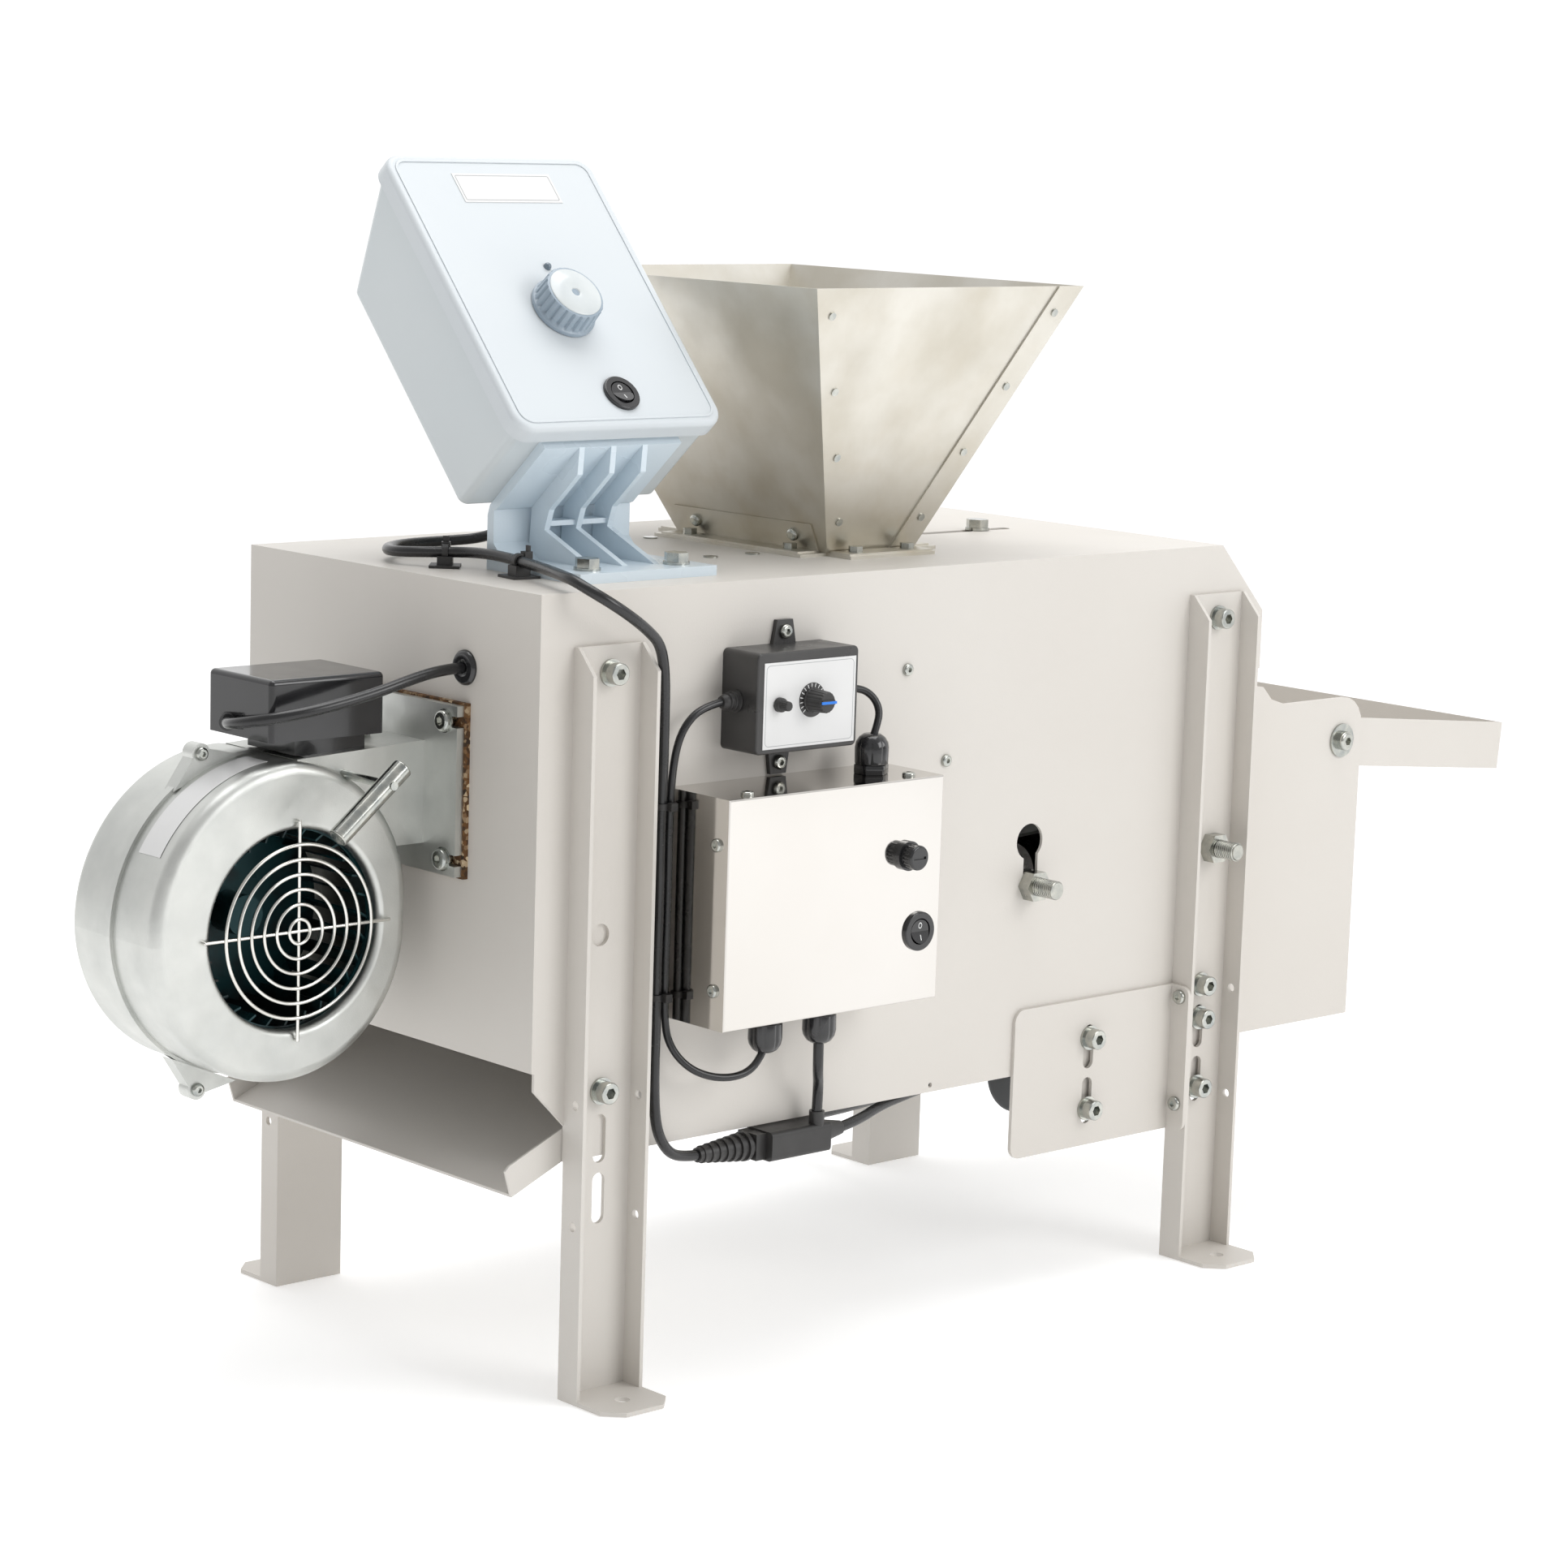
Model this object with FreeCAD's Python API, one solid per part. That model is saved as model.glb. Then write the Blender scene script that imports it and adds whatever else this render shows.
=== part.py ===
import FreeCAD, Part
import math
import os
from FreeCAD import Vector

# Bench-top grain and pollen cleaner with a side blower.
# Working frame, in mm: x runs from the outer face of the blower end wall towards the tray,
# y from the outer face of the near side panel to the far one, z up from the bench.
# Every finished piece is moved so that the origin lies midway between the four foot holes.

# ---------------------------------------------------------------- housing
sheet = 2.0
housing_width = 283.0
housing_top = 474.0
chamfer_start_x = 570.0
housing_end_x = 612.0
chamfer_end_z = 429.0
cover_lip_z = 390.0
cheek_end_x = 720.0
cheek_top_z = 364.0
cheek_corner_r = 20.0
panel_bottom_z = 142.5
end_wall_bottom_z = 198.0
fit_gap = 0.3
hole_clearance = 0.3

# ---------------------------------------------------------------- legs
leg_web = 50.0
leg_sheet = 2.5
leg_flange = 17.5
leg_top_z = 443.0
leg_near_end_x = 24.7
leg_tray_end_x = 540.5
foot_reach = 50.0
foot_hole_reach = 29.0
foot_hole_r = 4.5
foot_corner = 11.0
leg_bolt_heights = (427.0, 182.0)
leg_mid_hole_z = 274.5
leg_mid_hole_r = 6.6
leg_mid_hole_offset = 3.0
leg_slots = ((139.0, 168.0), (102.5, 133.0))
leg_slot_clearance = 0.6
flange_hole_heights = (178.0, 106.0)
flange_hole_r = 2.8

# ---------------------------------------------------------------- screws
m8_r = 4.0
m8_head_r = 6.5
m8_head = 8.0
m8_washer_r = 8.0
m8_washer = 1.6
m8_nut = 6.5
m6_r = 3.0
m6_head_r = 5.5
m6_head = 3.4
m5_r = 2.5
m5_head_r = 4.6
m5_head = 3.5
m4_r = 2.0
m4_head_r = 3.9
m4_head = 2.6
nut_tail = 2.0

# ---------------------------------------------------------------- hopper
hopper_x = 320.0
hopper_throat_length = 72.0
hopper_throat_width = 139.0
hopper_rim_length = 224.0
hopper_rim_width = 271.0
hopper_height = 169.0
hopper_sheet = 1.2
hopper_strip = 20.0
hopper_frame = 2.0
hopper_flange = 22.0
hopper_angle_height = 18.0
hopper_flange_bolt_pitch = (44.0, 95.0)
rivet_r = 2.6

# ---------------------------------------------------------------- outlet chute and tray
chute_slope_deg = 23.2
chute_tip_x = -11.0
chute_tip_z = 126.6
chute_end_x = 345.0
chute_wall = 19.0
tray_sheet = 1.5
tray_pivot_x = 699.4
tray_pivot_z = 334.5
tray_start_x = 628.0
tray_end_x = 882.0
tray_wall = 33.0
tray_slope_deg = 5.6
tray_pivot_above_floor = 18.0

# ---------------------------------------------------------------- blower
blower_axis_x = -102.5
blower_axis_z = 278.5
blower_front_y = 88.0
blower_seam_y = 132.0
blower_rear_y = 172.0
blower_wall = 3.0
scroll_right = 79.0
scroll_bottom = 88.0
scroll_left = 96.0
scroll_top = 97.0
neck_top_rise = 101.0
neck_floor_rise = 40.5
neck_inset = 6.5
gasket_depth = 3.6
gasket_margin = 1.4
flange_depth = 5.0
flange_height = 100.0
flange_width = 132.0
flange_centre_z = 353.0
flange_screw_pitch_y = 110.0
flange_screw_pitch_z = 81.0
inlet_r = 58.0
inlet_lip = 4.0
inlet_round = 4.0
ear_r = 6.0
ear_web_reach = 24.0
impeller_r = 63.0
impeller_hub_r = 12.0
impeller_blades = 28
impeller_front_y = 97.0
impeller_rear_y = 160.0
motor_r = 40.0
motor_length = 44.0
motor_shaft_r = 5.0
grille_wire_r = 1.1
grille_rings = 6
grille_ring_step = 8.6
damper_shaft_r = 2.5
damper_x = -66.0
damper_z = 364.5
damper_rod_r = 6.0
damper_rod_length = 58.0
damper_rod_top = 14.0
damper_rod_y = 53.0
damper_rod_angle_deg = 219.0
damper_flap_length = 58.0
running_gap = 0.06

# ---------------------------------------------------------------- terminal box of the blower
terminal_x = (-120.0, -41.0)
terminal_y = (90.0, 152.0)
terminal_z = (387.0, 422.5)

# ---------------------------------------------------------------- control box on the top cover
control_x = 102.0
control_y = 120.0
control_rise = 163.6
control_tilt_deg = 42.0
lid_width = 157.0
lid_height = 205.0
lid_depth = 12.0
lid_corner_r = 13.0
control_depth = 78.0
control_wall = 3.0
control_inset = 4.0
control_back_cut = 36.0
control_foot_width = 104.0
control_foot_plate = 6.0
control_foot_front_y = 27.0
control_foot_rib = 4.0
control_foot_rib_pitch = 24.0
control_foot_rib_depth = 11.0
foot_bolt_pitch = 68.0
foot_bolt_y = 43.0
knob_r = 20.0
knob_height = 17.0
knob_at = (-3.0, -16.0)
lamp_at = (2.4, 16.3)
switch_at = (8.5, -79.0)
round_switch_r = 12.0
label_size = (74.0, 22.0)
label_at = (3.0, 76.5)

# ---------------------------------------------------------------- leads
lead_r = 3.25
thin_lead_r = 2.3
coil_r = 36.0
coil_turns = 4
coil_pitch = 6.8
tie_gap = 0.2
coupler_axis = (-4.0, 132.5)

# ---------------------------------------------------------------- small speed controller
small_x = (137.0, 217.0)
small_z = (375.3, 435.2)
small_depth = 31.0
small_knob_x = 180.0
small_knob_z = 405.3
small_knob_r = 7.0
small_knob_length = 14.0
trim_x = 153.7
trim_z = 404.4
trim_r = 3.0
trim_length = 9.0

# ---------------------------------------------------------------- supply box
supply_x = (97.0, 268.0)
supply_z = (220.0, 356.2)
supply_depth = 55.0
supply_sheet = 1.5
gland_y = -27.0
gland_length = 24.0
fuse_x = 239.0
fuse_z = 310.1
fuse_cap_length = 8.5
supply_switch_x = 250.8
supply_switch_z = 262.8

# ---------------------------------------------------------------- feed conveyor and its drive
idler_x = 402.0
idler_z = 266.0
drive_x = 568.5
drive_z = 274.3
roller_r = 24.0
roller_bore_r = 6.0
roller_margin = 20.0
axle_nut_width = 18.0
axle_nut = 9.0
axle_stud = 16.0
jam_nut = 5.0
conveyor_belt = 2.0
conveyor_margin = 26.0
pulley_width = 9.0
drive_pulley_r = 20.0
motor_pulley_r = 14.0
drive_belt = 2.5
gearmotor_x = 513.5
gearmotor_z = 136.0
gearmotor_can = 50.0
plate_x0 = 392.0
plate_z = (88.0, 185.5)
plate_bolt_x = 460.5
drive_bolt_heights = (159.5, 112.5)
keyhole_r = 11.5
keyhole_rise = 28.0

# ---------------------------------------------------------------- baffle in the top slot
baffle_x = 484.0
baffle_slot = (429.0, 513.0)
baffle_drop = 118.0

hopper_rim_z = housing_top + hopper_height
control_z = housing_top + control_rise
leg_slot_r = m8_r + leg_slot_clearance
origin = Vector((leg_near_end_x + leg_tray_end_x + leg_web) / 2, housing_width / 2, 0)
mid_y = housing_width / 2
made = []


# ================================================================ helpers
def save(name, *shapes):
    """Write one node: one solid, or a group of separate solids, in the part's own frame."""
    solids = []
    for shape in shapes:
        solids.extend(shape.Solids)
    group = solids[0] if len(solids) == 1 else Part.makeCompound(solids)
    group = group.copy()
    group.translate(origin.negative())
    group.exportStep(os.path.join("parts", name + ".step"))
    made.append((name, len(solids), sum(s.Volume for s in solids)))


def box(x0, x1, y0, y1, z0, z1):
    return Part.makeBox(x1 - x0, y1 - y0, z1 - z0, Vector(x0, y0, z0))


def rod(start, axis, r, length):
    return Part.makeCylinder(r, length, Vector(*start), Vector(*axis))


def ring(start, axis, r, bore_r, length):
    return rod(start, axis, r, length).cut(rod(start, axis, bore_r, length))


def face_of(points):
    return Part.Face(Part.makePolygon(points + [points[0]]))


def prism_y(outline, y0, y1):
    """Extrude an (x, z) outline along y."""
    face = face_of([Vector(x, y0, z) for x, z in outline])
    return face.extrude(Vector(0, y1 - y0, 0))


def prism_x(outline, x0, x1):
    """Extrude a (y, z) outline along x."""
    face = face_of([Vector(x0, y, z) for y, z in outline])
    return face.extrude(Vector(x1 - x0, 0, 0))


def prism_z(outline, z0, z1):
    """Extrude an (x, y) outline along z."""
    face = face_of([Vector(x, y, z0) for x, y in outline])
    return face.extrude(Vector(0, 0, z1 - z0))


def hexagon(start, axis, width, height):
    """A hexagonal prism, its width measured across flats."""
    r = width / math.sqrt(3)
    points = [Vector(r * math.cos(math.radians(a)), r * math.sin(math.radians(a)), 0)
              for a in range(0, 360, 60)]
    shape = face_of(points).extrude(Vector(0, 0, height))
    shape.Placement = FreeCAD.Placement(Vector(*start), FreeCAD.Rotation(Vector(0, 0, 1), Vector(*axis)))
    return shape


def slot_y(x, z0, z1, r, y0, y1):
    """A cutter for an upright round-ended slot through a wall that lies across y."""
    length = y1 - y0
    body = box(x - r, x + r, y0, y1, z0 + r, z1 - r)
    ends = [rod((x, y0, z), (0, 1, 0), r, length) for z in (z0 + r, z1 - r)]
    return body.multiFuse(ends)


def fillet_along(shape, r, test):
    """Round the straight edges of a shape whose middle and direction pass the test."""
    picked = []
    for edge in shape.Edges:
        middle = edge.CenterOfMass
        direction = edge.Vertexes[-1].Point.sub(edge.Vertexes[0].Point)
        if direction.Length > 1e-6 and test(middle, direction.normalize()):
            picked.append(edge)
    return shape.makeFillet(r, picked)


def mirrored(shape):
    """The same piece on the far side of the housing."""
    return shape.mirror(Vector(0, mid_y, 0), Vector(0, 1, 0))


def socket_bolt(x, z, seat_y, grip, washer=True):
    """M8 cap screw, washer and nut on the near side, the head outwards."""
    head_y = seat_y - (m8_washer if washer else 0.0)
    head = rod((x, head_y, z), (0, -1, 0), m8_head_r, m8_head)
    head = head.makeFillet(0.8, [e for e in head.Edges if abs(e.CenterOfMass.y - (head_y - m8_head)) < 1e-6])
    head = head.cut(hexagon((x, head_y - m8_head, z), (0, 1, 0), 6.0, 4.5))
    shank = rod((x, head_y, z), (0, 1, 0), m8_r, grip + m8_washer + m8_nut + nut_tail)
    pieces = [head.fuse(shank)]
    if washer:
        pieces.append(ring((x, head_y, z), (0, 1, 0), m8_washer_r, m8_r + running_gap, m8_washer))
    nut = hexagon((x, seat_y + grip, z), (0, 1, 0), 2 * m8_head_r, m8_nut)
    pieces.append(nut.cut(rod((x, seat_y + grip, z), (0, 1, 0), m8_r + running_gap, m8_nut)))
    return pieces


def pan_screw(start, inward, r, head_r, head, length):
    """A dome-headed screw with a hexagonal socket; start is on the seat, inward points into the hole."""
    sx, sy, sz = start
    ix, iy, iz = inward
    outward = (-ix, -iy, -iz)
    cap = rod(start, outward, head_r, head)
    top = Vector(sx - ix * head, sy - iy * head, sz - iz * head)
    crown = [e for e in cap.Edges if e.CenterOfMass.distanceToPoint(top) < 1e-6]
    cap = cap.makeFillet(head * 0.6, crown)
    cap = cap.cut(hexagon((top.x, top.y, top.z), inward, head_r * 0.75, head * 0.5))
    return cap.fuse(rod(start, inward, r, length))


def hex_bolt_z(x, y, seat_z, r, width, head, length):
    """A hexagon-head bolt pointing down."""
    return hexagon((x, y, seat_z), (0, 0, 1), width, head).fuse(rod((x, y, seat_z), (0, 0, -1), r, length))


# ================================================================ housing
cover_outline = [
    (0.0, housing_top),
    (chamfer_start_x, housing_top),
    (housing_end_x, chamfer_end_z),
    (housing_end_x, cover_lip_z),
]


def inside_corner(outer_a, corner, outer_b, thickness):
    """The point a sheet's inner face turns at, where its outer face turns at corner."""
    d1 = Vector(corner[0] - outer_a[0], corner[1] - outer_a[1], 0).normalize()
    d2 = Vector(outer_b[0] - corner[0], outer_b[1] - corner[1], 0).normalize()
    n1 = Vector(d1.y, -d1.x, 0)
    n2 = Vector(d2.y, -d2.x, 0)
    bisector = n1.add(n2).normalize()
    reach = thickness / bisector.dot(n1)
    return (corner[0] + bisector.x * reach, corner[1] + bisector.y * reach)


def cover_solid():
    inner = [
        (0.0, housing_top - sheet),
        inside_corner(cover_outline[0], cover_outline[1], cover_outline[2], sheet),
        inside_corner(cover_outline[1], cover_outline[2], cover_outline[3], sheet),
        (housing_end_x - sheet, cover_lip_z),
    ]
    return prism_y(cover_outline + inner[::-1], 0.0, housing_width), inner


cover_blank, cover_inner = cover_solid()
throat_x = (hopper_x - hopper_throat_length / 2, hopper_x + hopper_throat_length / 2)
throat_y = (mid_y - hopper_throat_width / 2, mid_y + hopper_throat_width / 2)
leg_centres = (leg_near_end_x + leg_web / 2, leg_tray_end_x + leg_web / 2)
foot_bolt_places = [(control_x - foot_bolt_pitch / 2, foot_bolt_y), (control_x + foot_bolt_pitch / 2, foot_bolt_y)]
flange_bolt_places = []
for side in (-1, 1):
    for end in (-1, 1):
        flange_bolt_places.append((hopper_x + side * (hopper_throat_length + hopper_flange) / 2,
                                   mid_y + end * hopper_flange_bolt_pitch[1] / 2))
        flange_bolt_places.append((hopper_x + end * hopper_flange_bolt_pitch[0] / 2,
                                   mid_y + side * (hopper_throat_width + hopper_flange) / 2))
plug_screw_places = [(213.0, 100.0), (249.0, 102.0), (250.0, 201.0)]


def top_cover():
    shape = cover_blank
    top_hole = lambda x, y, r: rod((x, y, housing_top - 2 * sheet), (0, 0, 1), r, 3 * sheet)
    shape = shape.cut(box(throat_x[0] + hopper_sheet, throat_x[1] - hopper_sheet,
                          throat_y[0] + hopper_sheet, throat_y[1] - hopper_sheet,
                          housing_top - 2 * sheet, housing_top + sheet))
    r = m8_r + hole_clearance
    slot = box(baffle_slot[0] + r, baffle_slot[1] - r, mid_y - r, mid_y + r,
               housing_top - 2 * sheet, housing_top + sheet)
    slot = slot.multiFuse([top_hole(baffle_slot[0] + r, mid_y, r), top_hole(baffle_slot[1] - r, mid_y, r)])
    holes = [slot]
    holes += [top_hole(x, y, m8_r + hole_clearance) for x, y in foot_bolt_places]
    holes += [top_hole(x, y, m5_r + hole_clearance) for x, y in flange_bolt_places]
    holes += [top_hole(x, y, m5_r) for x, y in plug_screw_places]
    return shape.cut(Part.makeCompound(holes))


def panel_outline():
    """The side panel seen from the side, its upper edge seated under the cover sheet."""
    r = cheek_corner_r
    notch_x = leg_near_end_x + 0.7
    notch_z = 163.5
    points = [
        (sheet, housing_top - sheet),
        cover_inner[1],
        cover_inner[2],
        (housing_end_x - sheet, cover_lip_z - 12.0),
        (housing_end_x + 5.0, cheek_top_z + 13.0),
        (housing_end_x + 14.0, cheek_top_z + 4.0),
        (housing_end_x + 27.0, cheek_top_z),
        (cheek_end_x - r, cheek_top_z),
    ]
    for step in range(1, 6):
        a = math.radians(90 - 18 * step)
        points.append((cheek_end_x - r + r * math.cos(a), cheek_top_z - r + r * math.sin(a)))
    points += [
        (cheek_end_x, panel_bottom_z),
        (notch_x, panel_bottom_z),
        (notch_x, notch_z),
        (sheet, end_wall_bottom_z - 11.0),
    ]
    return points


def panel_common(y0, y1):
    """The panel with the holes that both sides share; y0 is its outer face when near."""
    shape = prism_y(panel_outline(), y0, y1)
    cuts = []
    length = y1 - y0
    hole = lambda x, z, r: rod((x, y0, z), (0, 1, 0), r, length)
    for x in leg_centres:
        for z in leg_bolt_heights:
            cuts.append(hole(x, z, m8_r + hole_clearance))
    cuts.append(hole(drive_x, drive_z, roller_bore_r + hole_clearance))
    cuts.append(hole(idler_x, idler_z, roller_bore_r + hole_clearance))
    cuts.append(hole(tray_pivot_x, tray_pivot_z, m8_r + hole_clearance))
    return shape.cut(Part.makeCompound(cuts))


controller_screws = [(182.6, small_z[1] + 7.2), (180.7, small_z[0] - 11.1)]
loose_screws = [(287.3, 411.8), (323.0, 352.6)]


def near_side_panel():
    shape = panel_common(0.0, sheet)
    neck = roller_bore_r + hole_clearance
    cuts = [
        rod((idler_x - 1.5, 0, idler_z + keyhole_rise), (0, 1, 0), keyhole_r, sheet),
        box(idler_x - neck, idler_x + neck, 0, sheet, idler_z, idler_z + keyhole_rise),
    ]
    for x in (plate_bolt_x, leg_centres[1]):
        cuts.append(box(x - neck, x + neck, 0, sheet, panel_bottom_z, leg_slots[0][1]))
    for x, z in controller_screws + loose_screws:
        cuts.append(rod((x, 0, z), (0, 1, 0), m4_r, sheet))
    cuts.append(rod((320.3, 0, panel_bottom_z + 4.5), (0, 1, 0), 1.6, sheet))
    return shape.cut(Part.makeCompound(cuts))


def far_side_panel():
    return mirrored(panel_common(0.0, sheet))


blower_mid_y = (blower_front_y + blower_rear_y) / 2
neck_y = (blower_front_y + neck_inset, blower_rear_y - neck_inset)
neck_z = (blower_axis_z + neck_floor_rise, blower_axis_z + neck_top_rise)
flange_y = (blower_mid_y - flange_width / 2, blower_mid_y + flange_width / 2)
flange_z = (flange_centre_z - flange_height / 2, flange_centre_z + flange_height / 2)
flange_screws = []
for side in (-1, 1):
    for end in (-1, 1):
        flange_screws.append((blower_mid_y + side * flange_screw_pitch_y / 2,
                              flange_centre_z + end * flange_screw_pitch_z / 2))
grommet_y = 68.0
grommet_z = 424.7
grommet_r = 7.0


def blower_end_wall():
    shape = box(0, sheet, 0, housing_width, end_wall_bottom_z, housing_top - sheet)
    cuts = [box(0, sheet, neck_y[0] + blower_wall, neck_y[1] - blower_wall,
                neck_z[0] + blower_wall, neck_z[1] - blower_wall)]
    cuts += [rod((0, y, z), (1, 0, 0), m6_r + hole_clearance, sheet) for y, z in flange_screws]
    cuts.append(rod((0, grommet_y, grommet_z), (1, 0, 0), grommet_r, sheet))
    return shape.cut(Part.makeCompound(cuts))


# ================================================================ legs
def leg(x0, hand):
    """A channel leg on the near side; hand is -1 at the blower end and 1 at the tray end."""
    web = box(x0, x0 + leg_web, -leg_sheet, 0, 0, leg_top_z)
    side = [(0, 0), (-leg_flange, 0), (-leg_flange, leg_top_z - 15.0), (-leg_sheet - 1.0, leg_top_z), (0, leg_top_z)]
    flanges = [prism_x(side, x0, x0 + leg_sheet), prism_x(side, x0 + leg_web - leg_sheet, x0 + leg_web)]
    c = foot_corner
    foot = prism_z([
        (x0, 0), (x0, -foot_reach + c), (x0 + c, -foot_reach), (x0 + leg_web - c, -foot_reach),
        (x0 + leg_web, -foot_reach + c), (x0 + leg_web, 0),
    ], 0, leg_sheet)
    shape = web.multiFuse(flanges + [foot])
    x = x0 + leg_web / 2
    through = lambda z, r, px: rod((px, -leg_sheet, z), (0, 1, 0), r, leg_sheet)
    cuts = [through(z, m8_r + hole_clearance, x) for z in leg_bolt_heights]
    cuts.append(through(leg_mid_hole_z, leg_mid_hole_r, x + hand * leg_mid_hole_offset))
    cuts += [slot_y(x, z0, z1, leg_slot_r, -leg_sheet, 0) for z0, z1 in leg_slots]
    cuts += [rod((x0, -10.0, z), (1, 0, 0), flange_hole_r, leg_web) for z in flange_hole_heights]
    cuts.append(rod((x, -foot_hole_reach, 0), (0, 0, 1), foot_hole_r, leg_sheet))
    return shape.cut(Part.makeCompound(cuts)).removeSplitter()


def near_legs():
    return [leg(leg_near_end_x, -1), leg(leg_tray_end_x, 1)]


def m8_bolts():
    """Leg bolts, the four bolts of the drive plate, and the two tray pivots."""
    near = []
    far = []
    grip = leg_sheet + sheet
    for x in leg_centres:
        for z in leg_bolt_heights:
            bolt = socket_bolt(x, z, -leg_sheet, grip)
            near += bolt
            far += [mirrored(piece) for piece in bolt]
    for x in (plate_bolt_x, leg_centres[1]):
        for z in drive_bolt_heights:
            near += socket_bolt(x, z, -leg_sheet, leg_sheet + sheet + bracket_sheet)
    pivot = tray_pivot()
    near += pivot
    far += [mirrored(piece) for piece in pivot]
    return near + far


def tray_pivot():
    """The tray turns on a bolt with a wide washer, nutted to the cheek and running in the tray wall."""
    x = tray_pivot_x
    z = tray_pivot_z
    head = rod((x, -m8_washer, z), (0, -1, 0), m8_head_r, 5.0)
    head = head.makeFillet(2.0, [e for e in head.Edges if abs(e.CenterOfMass.y + m8_washer + 5.0) < 1e-6])
    head = head.cut(hexagon((x, -m8_washer - 5.0, z), (0, 1, 0), 5.0, 3.0))
    bolt = head.fuse(rod((x, -m8_washer, z), (0, 1, 0), m8_r, m8_washer + sheet + 6.0 + tray_sheet))
    washer = ring((x, -m8_washer, z), (0, 1, 0), 11.5, m8_r + running_gap, m8_washer)
    return [bolt, washer]


# ================================================================ chute, baffle, tray
def chute():
    """The sloping seed slide, a pan with a folded wall on each side, open at its lower end."""
    slope = math.tan(math.radians(chute_slope_deg))
    rise = chute_wall / math.cos(math.radians(chute_slope_deg))
    x0, z0 = chute_tip_x, chute_tip_z
    x1 = chute_end_x
    z1 = z0 + (x1 - x0) * slope
    t = tray_sheet
    y0 = sheet + fit_gap
    y1 = housing_width - sheet - fit_gap
    floor = prism_y([(x0, z0), (x1, z1), (x1, z1 + t), (x0, z0 + t)], y0, y1)
    lean = rise * math.sin(math.radians(chute_slope_deg)) * 0.6
    wall = [(x0, z0), (x1, z1), (x1, z1 + rise), (x0 - lean + 3.0, z0 + rise - 2.0), (x0 - lean, z0 + rise - 5.0)]
    walls = [prism_y(wall, y0, y0 + t), prism_y(wall, y1 - t, y1)]
    return floor.multiFuse(walls).removeSplitter()


def baffle():
    """An angle hung from the slot in the top: a short foot under the cover and a long plate down."""
    y0 = 22.0
    y1 = housing_width - 22.0
    top = housing_top - sheet
    foot = box(baffle_x - 12.0, baffle_x + 16.0, y0, y1, top - tray_sheet - fit_gap, top - fit_gap)
    plate = box(baffle_x + 16.0 - tray_sheet, baffle_x + 16.0, y0, y1, top - baffle_drop, top - fit_gap)
    shape = foot.fuse(plate).removeSplitter()
    return shape.cut(rod((baffle_x, mid_y, top - 5.0), (0, 0, 1), m8_r + running_gap, 5.0))


def baffle_bolt():
    seat = housing_top + fit_gap
    washer = ring((baffle_x, mid_y, seat), (0, 0, 1), m8_washer_r, m8_r + running_gap, m8_washer)
    top = seat + m8_washer
    under = housing_top - sheet - fit_gap - tray_sheet
    bolt = hexagon((baffle_x, mid_y, top), (0, 0, 1), 13.0, 5.5)
    bolt = bolt.fuse(rod((baffle_x, mid_y, top), (0, 0, -1), m8_r, top - under + m8_nut + nut_tail))
    nut = hexagon((baffle_x, mid_y, under), (0, 0, -1), 13.0, m8_nut)
    nut = nut.cut(rod((baffle_x, mid_y, under), (0, 0, -1), m8_r + running_gap, m8_nut))
    return [bolt, washer, nut]


def tray():
    """An open pan, built level about its pivot and then tipped down towards its far end."""
    t = tray_sheet
    y0 = sheet + 4.0
    y1 = housing_width - sheet - 4.0
    floor_z = tray_pivot_z - tray_pivot_above_floor
    outer = box(tray_start_x, tray_end_x, y0, y1, floor_z, floor_z + tray_wall)
    inner = box(tray_start_x - t, tray_end_x - t, y0 + t, y1 - t, floor_z + t, floor_z + tray_wall + t)
    shape = outer.cut(inner)
    shape = shape.cut(rod((tray_pivot_x, 0, tray_pivot_z), (0, 1, 0), m8_r + running_gap, housing_width))
    shape.rotate(Vector(tray_pivot_x, 0, tray_pivot_z), Vector(0, 1, 0), tray_slope_deg)
    return shape


# ================================================================ hopper
hopper_base_z = housing_top + hopper_frame
hopper_rise = hopper_rim_z - hopper_base_z


def frustum(grow):
    """The hopper's solid, each face moved out by grow."""
    wires = []
    for z, length, width in ((hopper_base_z, hopper_throat_length, hopper_throat_width),
                             (hopper_rim_z, hopper_rim_length, hopper_rim_width)):
        a = length / 2 + grow
        b = width / 2 + grow
        corners = [Vector(hopper_x - a, mid_y - b, z), Vector(hopper_x + a, mid_y - b, z),
                   Vector(hopper_x + a, mid_y + b, z), Vector(hopper_x - a, mid_y + b, z)]
        wires.append(Part.makePolygon(corners + [corners[0]]))
    return Part.makeLoft(wires, True, True)


def hopper_walls():
    """Two side walls whose edges are folded round onto the two flat end walls."""
    t = hopper_sheet
    skin = frustum(t).cut(frustum(0.0))
    core = frustum(0.0).cut(frustum(-t))
    a0 = hopper_throat_length / 2 - hopper_strip
    a1 = hopper_rim_length / 2 - hopper_strip
    low, high = hopper_base_z, hopper_rim_z
    between = prism_y([(hopper_x - a0, low), (hopper_x + a0, low), (hopper_x + a1, high), (hopper_x - a1, high)],
                      -100.0, housing_width + 100.0)
    b0 = hopper_throat_width / 2 - t
    b1 = hopper_rim_width / 2 - t
    inside = prism_x([(mid_y - b0, low), (mid_y + b0, low), (mid_y + b1, high), (mid_y - b1, high)],
                     hopper_x - 300.0, hopper_x + 300.0)
    return skin.cut(between), core.cut(inside)


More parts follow.
